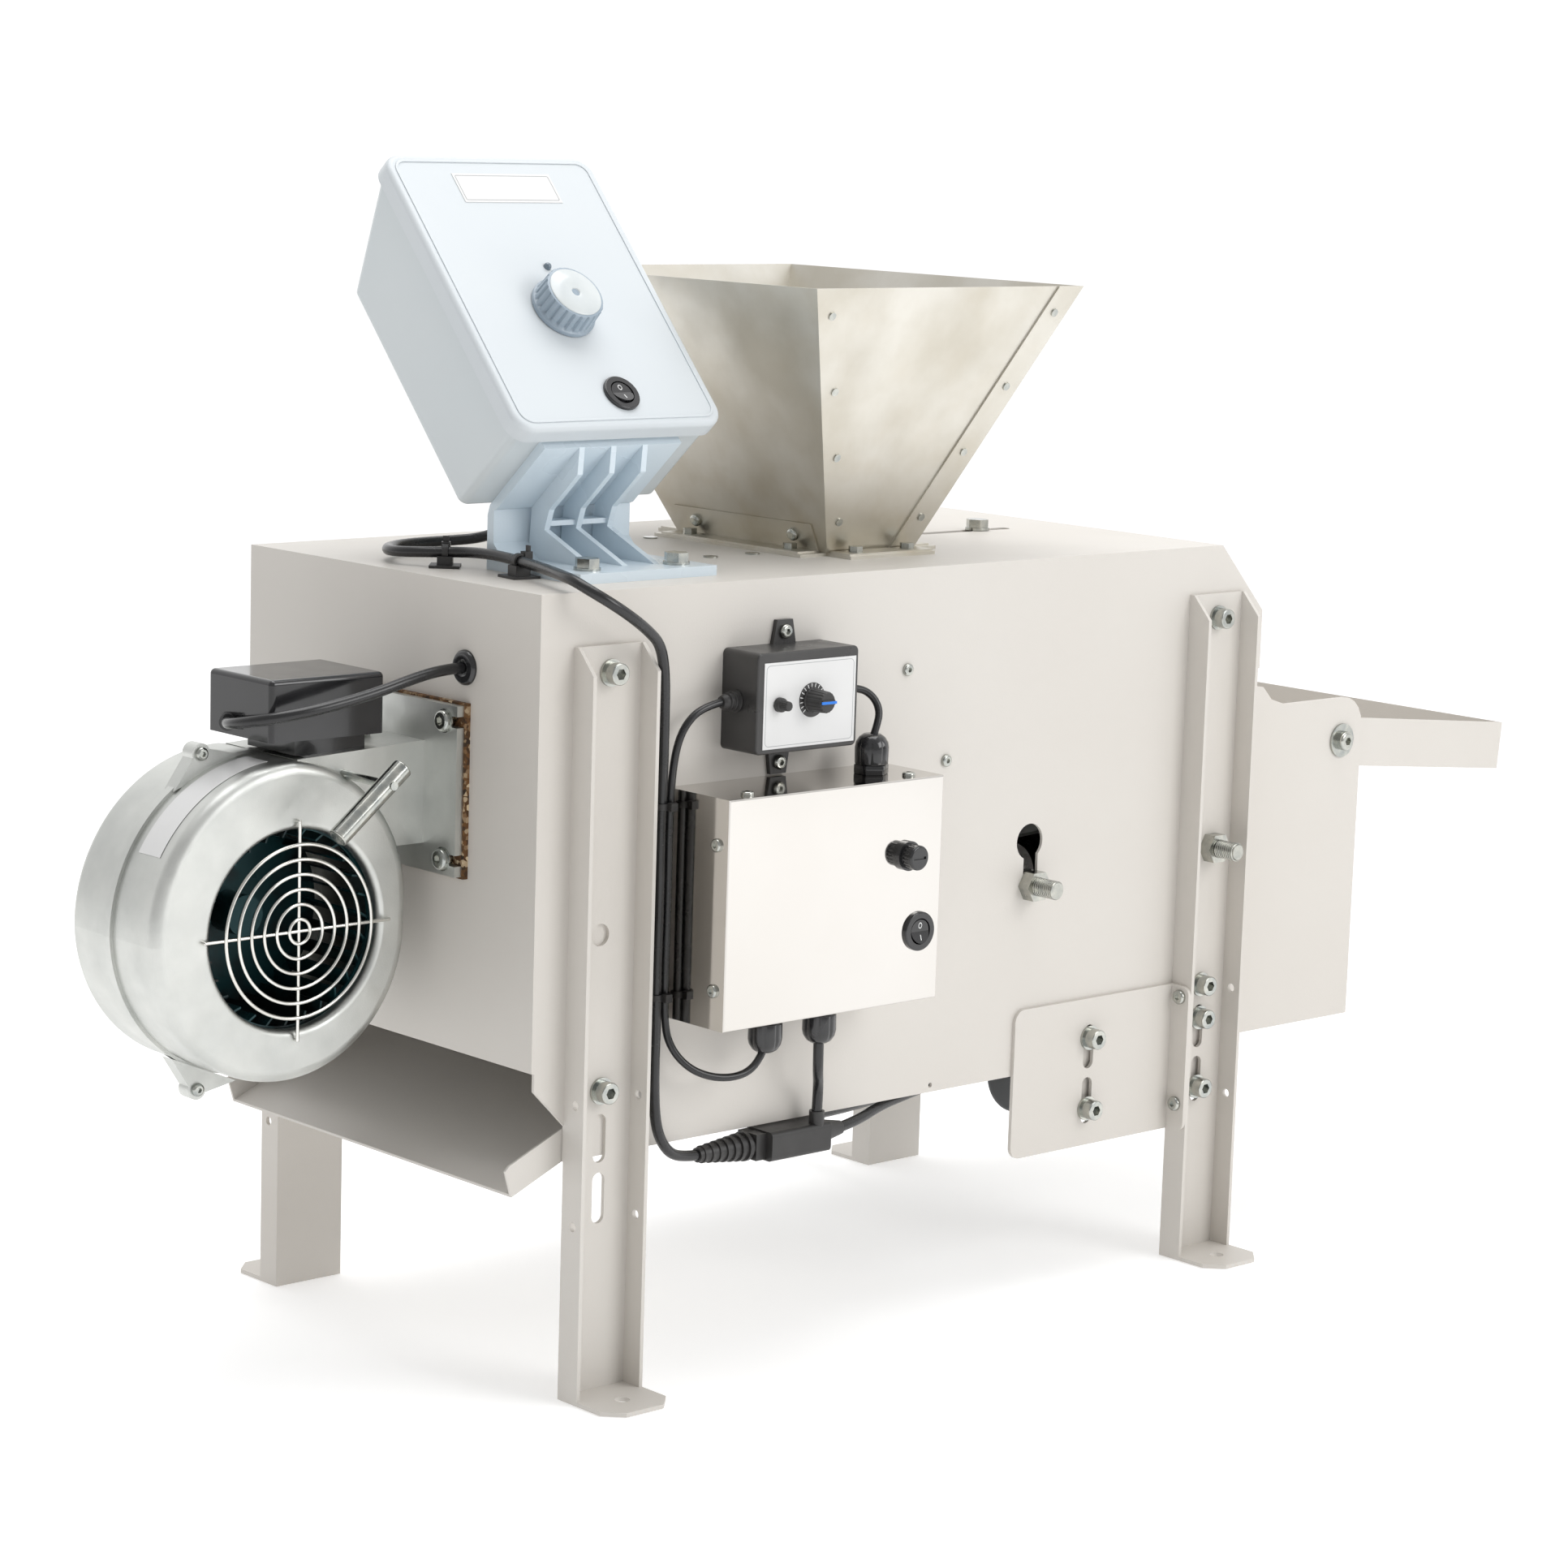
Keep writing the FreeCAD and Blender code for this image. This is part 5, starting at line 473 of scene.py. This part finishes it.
blower_route = [
    (-0.1254, 0.1248, 0.3950), (-0.1340, 0.1133, 0.3965), (-0.1365, 0.0950, 0.3995),
    (-0.1260, 0.0775, 0.4035), (-0.1010, 0.0705, 0.4075), (-0.0660, 0.0690, 0.4135),
    (-0.0360, 0.0685, 0.4210), (-0.0170, 0.0680, 0.4244), (-0.0030, 0.0680, 0.4247),
]
control_route = [
    (0.1020, 0.1422, 0.5098), (0.1020, 0.1556, 0.4978), (0.1020, 0.1700, 0.4880),
    (0.0980, 0.1835, 0.4830), (0.0820, 0.1940, 0.4812), (0.0600, 0.1980, 0.4806),
    (0.0370, 0.1905, 0.4806), (0.0205, 0.1740, 0.4810), (0.0170, 0.1555, 0.4818),
    (0.0270, 0.1395, 0.4827), (0.0410, 0.1270, 0.4833), (0.0425, 0.1040, 0.4846),
    (0.0415, 0.0820, 0.4842), (0.0390, 0.0600, 0.4833), (0.0300, 0.0320, 0.4832),
    (0.0220, 0.0090, 0.4828), (0.0190, -0.0040, 0.4820), (0.0210, -0.0160, 0.4775),
    (0.0295, -0.0240, 0.4710), (0.0440, -0.0250, 0.4625), (0.0590, -0.0225, 0.4535),
    (0.0730, -0.0187, 0.4435), (0.0813, -0.0133, 0.4245), (0.0848, -0.0095, 0.3930),
    (0.0859, -0.0082, 0.3640), (0.0856, -0.0076, 0.3300), (0.0860, -0.0079, 0.2900),
    (0.0856, -0.0075, 0.2520), (0.0858, -0.0078, 0.2140), (0.0853, -0.0082, 0.1820),
    (0.0860, -0.0095, 0.1600), (0.0910, -0.0092, 0.1470), (0.1015, -0.0065, 0.1370),
    (0.1145, -0.0044, 0.1332), (0.1240, -0.0040, 0.1325),
]
small_left_route = [
    (0.1250, -0.0130, 0.4055), (0.1120, -0.0130, 0.4037), (0.1010, -0.0120, 0.3965),
    (0.0950, -0.0100, 0.3840), (0.0927, -0.0084, 0.3640), (0.0923, -0.0076, 0.3340),
    (0.0926, -0.0079, 0.2940), (0.0922, -0.0076, 0.2540), (0.0924, -0.0078, 0.2160),
    (0.0955, -0.0115, 0.2020), (0.1040, -0.0170, 0.1910), (0.1160, -0.0215, 0.1850),
    (0.1290, -0.0250, 0.1830), (0.1410, -0.0266, 0.1845), (0.1498, -0.0270, 0.1900),
    (0.1542, -0.0270, 0.1974),
]
small_right_route = [
    (0.2220, -0.0140, 0.4065), (0.2315, -0.0165, 0.4070), (0.2390, -0.0213, 0.4020),
    (0.2410, -0.0255, 0.3935), (0.2375, -0.0270, 0.3845), (0.2350, -0.0270, 0.3790),
]
supply_route = [
    (0.1985, -0.0270, 0.1960), (0.1984, -0.0272, 0.1860), (0.2016, -0.0240, 0.1765),
    (0.2090, -0.0166, 0.1680), (0.2122, -0.0132, 0.1588), (0.2120, -0.0130, 0.1490),
]
mains_route = [
    (0.2400, -0.0040, 0.1325), (0.2580, -0.0015, 0.1340), (0.2840, 0.0065, 0.1380),
    (0.3140, 0.0130, 0.1396), (0.3460, 0.0260, 0.1385), (0.3780, 0.0480, 0.1340),
    (0.4050, 0.0780, 0.1270), (0.4320, 0.1130, 0.1160), (0.4570, 0.1500, 0.1010),
    (0.4780, 0.1900, 0.0830), (0.4940, 0.2320, 0.0650), (0.5050, 0.2780, 0.0470),
    (0.5100, 0.3250, 0.0300), (0.5160, 0.3660, 0.0155), (0.5300, 0.4020, 0.0065),
    (0.5520, 0.4244, 0.0039), (0.5750, 0.4360, 0.0036),
]
tail_route = [
    (0.5750, 0.4360, 0.0308), (0.5980, 0.4476, 0.0316), (0.6190, 0.4630, 0.0290),
    (0.6340, 0.4840, 0.0245), (0.6420, 0.5080, 0.0203), (0.6450, 0.5300, 0.0186),
]
coil_centre = (0.5588, 0.4682)
coil_r = 0.0367
coil_turns = 4
coil_pitch = 0.0068
coil_start = math.radians(-63.3)
coil_steps = 16


def coil_points():
    """The coil's turns, between the route's last point and the tail's first."""
    points = []
    for k in range(1, coil_turns * coil_steps):
        angle = coil_start + 2 * math.pi * k / coil_steps
        points.append((coil_centre[0] + coil_r * math.cos(angle), coil_centre[1] + coil_r * math.sin(angle),
                       mains_route[-1][2] + coil_pitch * k / coil_steps))
    return points


def make_leads():
    """The six leads, each at its real length."""
    blower = round_lead("lead_blower", blower_route, lead_d, ("blower_lead",))
    control = round_lead("lead_control", control_route, lead_d, ("control_lead",))
    left = round_lead("lead_controller_left", small_left_route, thin_lead_d, ("controller_leads",))
    right = round_lead("lead_controller_right", small_right_route, thin_lead_d, ("controller_leads",))
    supply = round_lead("lead_supply", supply_route, lead_d, ("supply_lead",))
    mains = round_lead("lead_mains", mains_route + coil_points() + tail_route, lead_d,
                       ("mains_lead", "mains_coil"))


# ================================================================ modelling helpers
def begin(primitive, **sizes):
    """Add a primitive with nothing else selected, and give its object."""
    bpy.ops.object.select_all(action="DESELECT")
    primitive(**sizes)
    bpy.ops.object.transform_apply(location=True, rotation=True, scale=True)
    return bpy.context.active_object


def pick(piece, part, wanted):
    """Open a piece in edit mode with only the vertices or faces that pass the test selected."""
    bpy.ops.object.mode_set(mode="OBJECT")
    mesh = piece.data
    for items in (mesh.vertices, mesh.edges, mesh.polygons):
        items.foreach_set("select", [False] * len(items))
    bpy.context.tool_settings.mesh_select_mode = (part == "vertices", False, part == "faces")
    for item in (mesh.vertices if part == "vertices" else mesh.polygons):
        item.select = wanted(item)
    bpy.ops.object.mode_set(mode="EDIT")


def close_up(piece):
    """Merge doubles, turn the faces outwards and leave edit mode."""
    bpy.ops.object.mode_set(mode="EDIT")
    bpy.ops.mesh.select_all(action="SELECT")
    bpy.ops.mesh.remove_doubles(threshold=0.000001)
    bpy.ops.mesh.normals_make_consistent(inside=False)
    bpy.ops.object.mode_set(mode="OBJECT")
    return piece


def soften(piece, width):
    """Round the sharp edges and smooth the rest."""
    bevel = piece.modifiers.new("soft_edges", "BEVEL")
    bevel.width = width
    bevel.segments = 2
    bevel.limit_method = "ANGLE"
    bevel.angle_limit = math.radians(35)
    bpy.ops.object.modifier_apply(modifier="soft_edges")
    bpy.ops.object.shade_smooth_by_angle(angle=math.radians(35))
    return piece


def turned(sides, steps, flutes=None, edge=0.0003):
    """A round piece about Z, pulled up through its (radius, height) steps.

    Flutes are (every, low, high, share): each vertex that is a multiple of `every` round the piece,
    between the two heights, moves in to `share` of its radius."""
    radius, height = steps[0]
    piece = begin(bpy.ops.mesh.primitive_circle_add, vertices=sides, radius=radius, fill_type="NGON",
                  location=(0, 0, height))
    bpy.ops.object.mode_set(mode="EDIT")
    bpy.ops.mesh.select_all(action="SELECT")
    for next_radius, next_height in steps[1:]:
        bpy.ops.mesh.extrude_region_move(TRANSFORM_OT_translate={"value": (0, 0, next_height - height)})
        share = next_radius / radius
        bpy.ops.transform.resize(value=(share, share, 1), center_override=(0, 0, 0))
        radius, height = next_radius, next_height
    close_up(piece)
    if flutes:
        every, low, high, share = flutes

        def in_flute(vertex):
            turn = round(math.atan2(vertex.co.y, vertex.co.x) * sides / (2 * math.pi))
            return turn % every == 0 and low <= vertex.co.z <= high

        pick(piece, "vertices", in_flute)
        bpy.ops.transform.resize(value=(share, share, 1), center_override=(0, 0, 0))
        bpy.ops.object.mode_set(mode="OBJECT")
    return soften(piece, edge)


def bar(length, width, thick, x=0.0, y=0.0, z=0.0, edge=0.0001):
    """A small straight bar with rounded edges, standing on the height z."""
    piece = begin(bpy.ops.mesh.primitive_cube_add, size=1.0)
    bpy.ops.object.mode_set(mode="EDIT")
    bpy.ops.mesh.select_all(action="SELECT")
    bpy.ops.transform.resize(value=(length, width, thick), center_override=(0, 0, 0))
    bpy.ops.transform.translate(value=(x, y, z + thick / 2))
    bpy.ops.object.mode_set(mode="OBJECT")
    return soften(piece, edge)


def joined(pieces):
    """One piece from several."""
    bpy.ops.object.select_all(action="DESELECT")
    for piece in pieces:
        piece.select_set(True)
    bpy.context.view_layer.objects.active = pieces[0]
    bpy.ops.object.join()
    return bpy.context.active_object


def fitted(piece, name, material, place, body, slot, *replaced):
    """Name a piece, move its mesh to its place, and give it its finish and its body."""
    piece.name = name
    piece.data.name = name
    piece.data.transform(place)
    piece.data.materials.clear()
    piece.data.materials.append(material)
    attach(piece, body)
    if replaced:
        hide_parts(*replaced)
    return piece


def lid_place(x, y, z=0.0, tip=0.0):
    """The frame of a thing on the lid: x across it, y up it, z out of it, tipped about x."""
    turn = Matrix.Rotation(math.pi / 2 - lid_tilt, 4, "X")
    return (Matrix.Translation(placed(*lid_centre)) @ turn @ Matrix.Translation((x, y, z))
            @ Matrix.Rotation(tip, 4, "X"))


def front_place(x, y, z, tip=0.0):
    """The frame of a thing on a front face: x along it, y up, z out towards the near side."""
    return (Matrix.Translation(placed(x, y, z)) @ Matrix.Rotation(math.pi / 2, 4, "X")
            @ Matrix.Rotation(tip, 4, "X"))


def way_place(at, way):
    """The frame of a thing that stands on a point, its z along the given way."""
    turn = Vector(way).to_track_quat("Z", "Y").to_matrix().to_4x4()
    return Matrix.Translation(placed(*at)) @ turn


# ================================================================ knobs, marks and switches
def main_knob():
    """The fluted skirt and the pale face with its dimple."""
    r = main_knob_r
    top = main_knob_height
    grip = turned(96, [(r + 0.001, 0.0004), (r + 0.001, 0.003), (r, 0.0034), (r - 0.0004, 0.0045),
                       (r - 0.0008, top - 0.0016), (r - 0.0014, top - 0.0006), (r - 0.0032, top - 0.0004)],
                  flutes=(4, 0.004, top - 0.0012, 0.925))
    fitted(grip, "main_knob_grip", knob_skirt, lid_place(*main_knob_at), "main_knob", "painted_box",
           "control_knob")
    face = turned(64, [(r - 0.0030, top - 0.0014), (r - 0.0028, top - 0.0002), (r - 0.0034, top + 0.0002),
                       (0.0030, top + 0.0002), (0.0024, top - 0.0006), (0.0008, top - 0.0010)], edge=0.0002)
    fitted(face, "main_knob_face", knob_face, lid_place(*main_knob_at), "main_knob", "painted_box")


def off_on_marks(name, body, place_on):
    """The O and I of a rocker, printed on the two slopes of its face."""
    ring = begin(bpy.ops.mesh.primitive_torus_add, major_radius=0.0016, minor_radius=0.00028,
                 major_segments=32, minor_segments=8)
    bpy.ops.object.mode_set(mode="EDIT")
    bpy.ops.mesh.select_all(action="SELECT")
    bpy.ops.transform.resize(value=(0.8, 1.0, 0.5), center_override=(0, 0, 0))
    bpy.ops.object.mode_set(mode="OBJECT")
    bpy.ops.object.shade_smooth_by_angle(angle=math.radians(60))
    fitted(ring, name + "_off_mark", mark_ink, place_on(rocker_reach / 2, 0.00182, rocker_upper_tip), body,
           "label_film")
    stroke = bar(0.0006, 0.0034, 0.0002, z=-0.0001)
    fitted(stroke, name + "_on_mark", mark_ink, place_on(-rocker_reach / 2, 0.00276, rocker_lower_tip), body,
           "label_film")


def switch_marks():
    """The marks on the lid's rocker and on the supply box's rocker."""
    x, y = lid_switch_at
    off_on_marks("control_switch", "control_switch", lambda up, out, tip: lid_place(x, y + up, out, tip))
    x, z = supply_switch_at
    off_on_marks("supply_switch", "supply_switch",
                 lambda up, out, tip: front_place(x, supply_front_y - out, z + up, tip))


def speed_dial():
    """The black disc behind the small knob, with its ticks, and the knob with a blue pointer."""
    x, z = small_knob_at
    disc = turned(64, [(dial_r, 0.0), (dial_r, 0.0003)], edge=0.0001)
    fitted(disc, "speed_dial_disc", moulded_black, front_place(x, small_front_y, z), "machine",
           "black_plastic")
    ticks = []
    for k in range(dial_ticks):
        tick = bar(0.0034, 0.00055, 0.00008, x=dial_r - 0.0021, z=0.0003, edge=0.00003)
        turn = dial_from + (dial_to - dial_from) * k / (dial_ticks - 1)
        tick.data.transform(Matrix.Rotation(turn, 4, "Z"))
        ticks.append(tick)
    fitted(joined(ticks), "speed_dial_ticks", mark_ink, front_place(x, small_front_y, z), "machine",
           "label_film")
    knob = turned(72, [(0.0076, 0.0), (0.0076, 0.0012), (0.0070, 0.0016), (0.0064, 0.0126), (0.0055, 0.0136)],
                  flutes=(4, 0.0014, 0.0130, 0.92), edge=0.0002)
    knob_place = front_place(x, small_front_y - knob_gap, z)
    fitted(knob, "speed_knob_grip", moulded_black, knob_place, "speed_dial", "black_plastic", "speed_knob")
    fin = bar(0.0100, 0.0030, 0.0016, z=0.0130, edge=0.0004)
    fitted(fin, "speed_knob_fin", moulded_black, knob_place, "speed_dial", "black_plastic")
    pointer = bar(0.0118, 0.0016, 0.0005, z=0.0144)
    fitted(pointer, "speed_knob_pointer", blue_ink, knob_place, "speed_dial", "label_film")
    x, z = trim_at
    trim = turned(48, [(0.0044, 0.0), (0.0042, 0.0030), (0.0031, 0.0036), (0.0029, 0.0086), (0.0024, 0.0090)],
                  flutes=(4, 0.0033, 0.0088, 0.88), edge=0.00015)
    fitted(trim, "trim_knob_grip", moulded_black, front_place(x, small_front_y - knob_gap, z), "trim_dial",
           "black_plastic", "trim_knob")


def hairline(name, width, height, band, thick, place, material, slot):
    """A thin printed or pressed border: a rectangle with its middle taken out."""
    piece = begin(bpy.ops.mesh.primitive_plane_add, size=1.0)
    bpy.ops.object.mode_set(mode="EDIT")
    bpy.ops.mesh.select_all(action="SELECT")
    bpy.ops.transform.resize(value=(width, height, 1), center_override=(0, 0, 0))
    bpy.ops.mesh.bevel(offset=min(width, height) * 0.06, segments=6, affect="VERTICES")
    bpy.ops.mesh.inset(thickness=band, depth=0)
    bpy.ops.mesh.delete(type="FACE")
    bpy.ops.mesh.select_all(action="SELECT")
    bpy.ops.mesh.extrude_region_move(TRANSFORM_OT_translate={"value": (0, 0, thick)})
    close_up(piece)
    soften(piece, thick * 0.3)
    return fitted(piece, name, material, place, "machine", slot)


def borders():
    """The printed borders of the blank films and the raised bead round the lid."""
    x, y = lid_label_at
    width, height = lid_label_size
    hairline("lid_label_border", width - 2 * border_inset, height - 2 * border_inset, 0.0004, border_height,
             lid_place(x, y, lid_film),
             grey_ink, "label_film")
    film_x = (small_film_x[0] + small_film_x[1]) / 2
    film_z = (small_film_z[0] + small_film_z[1]) / 2
    hairline("speed_label_border", small_film_x[1] - small_film_x[0] - 2 * border_inset,
             small_film_z[1] - small_film_z[0] - 2 * border_inset, 0.0003, border_height,
             front_place(film_x, small_front_y, film_z), grey_ink, "label_film")
    hairline("lid_bead", lid_size[0] - 2 * lid_bead_inset, lid_size[1] - 2 * lid_bead_inset, 0.0016, 0.0006,
             lid_place(0.0, 0.0), lid_paint, "painted_box")


# ================================================================ glands and blower label
def gland(name, at, way):
    """A hexagon foot with a ribbed dome nut that closes on the lead."""
    foot = turned(6, [(0.0108, 0.0), (0.0108, 0.0058)], edge=0.0006)
    nut = turned(48, [(0.0094, 0.0058), (0.0102, 0.0064), (0.0104, 0.0160), (0.0098, 0.0190),
                      (0.0078, 0.0222), (0.0052, 0.0240)], flutes=(6, 0.0062, 0.0200, 0.93), edge=0.0004)
    fitted(joined([foot, nut]), name, glossy_black, way_place(at, way), "machine", "black_plastic",
           "cable_glands")


def ribbed_boot(name, at, way, length, ribs):
    """A tapering strain relief with raised rings."""
    steps = [(0.0066, 0.0)]
    pitch = length / (ribs + 1)
    for k in range(ribs):
        r = 0.0066 - 0.0006 * k
        steps += [(r, pitch * k + pitch * 0.5), (r - 0.0012, pitch * k + pitch * 0.6),
                  (r - 0.0014, pitch * (k + 1)), (r - 0.0005, pitch * (k + 1) + pitch * 0.1)]
    steps += [(thin_lead_d / 2 + 0.0012, length)]
    boot = turned(40, steps, edge=0.0002)
    fitted(boot, name, moulded_black, way_place(at, way), "machine", "black_plastic", "cable_glands")


def glands():
    """The four glands, the two boots and the grommet that the leads go through."""
    for x in gland_below_x:
        gland("gland_below_%d" % round(x * 1000), (x, gland_y, supply_bottom_z), (0, 0, -1))
    gland("gland_above", (gland_above_x, gland_y, supply_top_z), (0, 0, 1))
    gland("gland_control", control_gland_at, (0, math.cos(lid_tilt), -math.sin(lid_tilt)))
    ribbed_boot("boot_left", boot_left_at, (-1, 0, 0), 0.012, 3)
    ribbed_boot("boot_right", boot_right_at, (1, 0, 0), 0.005, 1)
    grommet = turned(48, [(0.0105, 0.0), (0.0102, 0.0016), (0.0088, 0.0030), (0.0050, 0.0030),
                          (0.0040, 0.0022), (0.0034, 0.0016)], edge=0.0003)
    fitted(grommet, "wall_grommet", glossy_black, way_place(grommet_at, (-1, 0, 0)), "machine",
           "black_plastic", "cable_glands")


def blower_label():
    """A blank film bent round the scroll, on the front half's upper outer side."""
    axis_x, axis_z = blower_axis
    centre = placed(axis_x, 0.0, axis_z)
    film = begin(bpy.ops.mesh.primitive_plane_add, size=1.0)
    bpy.ops.object.mode_set(mode="EDIT")
    bpy.ops.mesh.select_all(action="SELECT")
    bpy.ops.mesh.delete(type="ONLY_FACE")
    bpy.ops.object.mode_set(mode="OBJECT")
    pick(film, "vertices", lambda vertex: vertex.co.x > 0)
    bpy.ops.mesh.delete(type="VERT")
    bpy.ops.mesh.select_all(action="SELECT")
    bpy.ops.transform.resize(value=(0, blower_film_width, 0), center_override=(0, 0, 0))
    reach = Matrix.Rotation(-blower_film_from, 4, "Y") @ Vector((scroll_reach, 0.0, 0.0))
    bpy.ops.transform.translate(value=centre + reach + Vector((0.0, blower_film_y, 0.0)))
    bpy.ops.mesh.subdivide(number_cuts=4)
    bpy.ops.mesh.spin(steps=40, angle=blower_film_to - blower_film_from, center=centre, axis=(0, 1, 0))
    close_up(film)
    wrap = film.modifiers.new("wrap", "SHRINKWRAP")
    wrap.target = nodes["blower_front_housing"]
    wrap.wrap_method = "NEAREST_SURFACEPOINT"
    wrap.wrap_mode = "OUTSIDE_SURFACE"
    wrap.offset = 0.0003
    bpy.ops.object.modifier_apply(modifier="wrap")
    wall = film.modifiers.new("wall", "SOLIDIFY")
    wall.thickness = 0.0002
    wall.offset = 0.0
    bpy.ops.object.modifier_apply(modifier="wall")
    bpy.ops.object.shade_smooth_by_angle(angle=math.radians(35))
    fitted(film, "blower_label", label_film, Matrix.Identity(4), "machine", "label_film")


# ================================================================ light and floor
def make_floor():
    """A wide sheet of pale paper that glows a little, so that it stays pale far from the lamps."""
    bpy.ops.object.select_all(action="DESELECT")
    bpy.ops.mesh.primitive_plane_add(size=40.0, location=(0.0, 0.0, -0.0005))
    floor = bpy.context.active_object
    floor.name = "studio_floor"
    material = bpy.data.materials.new("floor_paper")
    material.use_nodes = True
    shader = material.node_tree.nodes["Principled BSDF"]
    shader.inputs["Base Color"].default_value = (0.79, 0.79, 0.79, 1.0)
    shader.inputs["Roughness"].default_value = 0.9
    shader.inputs["Specular IOR Level"].default_value = 0.0
    shader.inputs["Emission Color"].default_value = (1.0, 1.0, 1.0, 1.0)
    shader.inputs["Emission Strength"].default_value = 0.4
    floor.data.materials.append(material)


def area_light(name, place, aim, size, power):
    """A square soft lamp that looks at a point."""
    data = bpy.data.lights.new(name, "AREA")
    data.shape = "SQUARE"
    data.size = size
    data.energy = power
    light = bpy.data.objects.new(name, data)
    bpy.context.scene.collection.objects.link(light)
    light.location = place
    light.rotation_mode = "QUATERNION"
    light.rotation_quaternion = (Vector(aim) - Vector(place)).to_track_quat("-Z", "Y")


def make_lights():
    """An even sky that is brightest beyond the tray and the plain side, with two soft lamps."""
    world = bpy.data.worlds.new("studio")
    world.use_nodes = True
    tree = world.node_tree
    background = tree.nodes["Background"]
    place = tree.nodes.new("ShaderNodeTexCoord")
    toward = tree.nodes.new("ShaderNodeVectorMath")
    toward.operation = "DOT_PRODUCT"
    toward.inputs[1].default_value = bright_way
    share = tree.nodes.new("ShaderNodeMapRange")
    share.interpolation_type = "SMOOTHSTEP"
    share.inputs["From Min"].default_value = -0.6
    share.inputs["From Max"].default_value = 0.75
    share.inputs["To Min"].default_value = sky_dim
    share.inputs["To Max"].default_value = sky_bright
    tree.links.new(place.outputs["Generated"], toward.inputs[0])
    tree.links.new(toward.outputs["Value"], share.inputs["Value"])
    tree.links.new(share.outputs["Result"], background.inputs["Strength"])
    background.inputs["Color"].default_value = (1.0, 1.0, 1.0, 1.0)
    bpy.context.scene.world = world
    bpy.context.scene.view_settings.view_transform = "Standard"
    area_light("overhead", (0.1, 0.1, 2.6), (0.0, 0.0, 0.4), 1.8, 30.0)
    area_light("front_right", (0.9, -2.4, 1.5), (0.1, -0.1, 0.3), 1.4, 24.0)


make_camera()
make_leads()
main_knob()
switch_marks()
speed_dial()
borders()
glands()
blower_label()
make_floor()
make_lights()
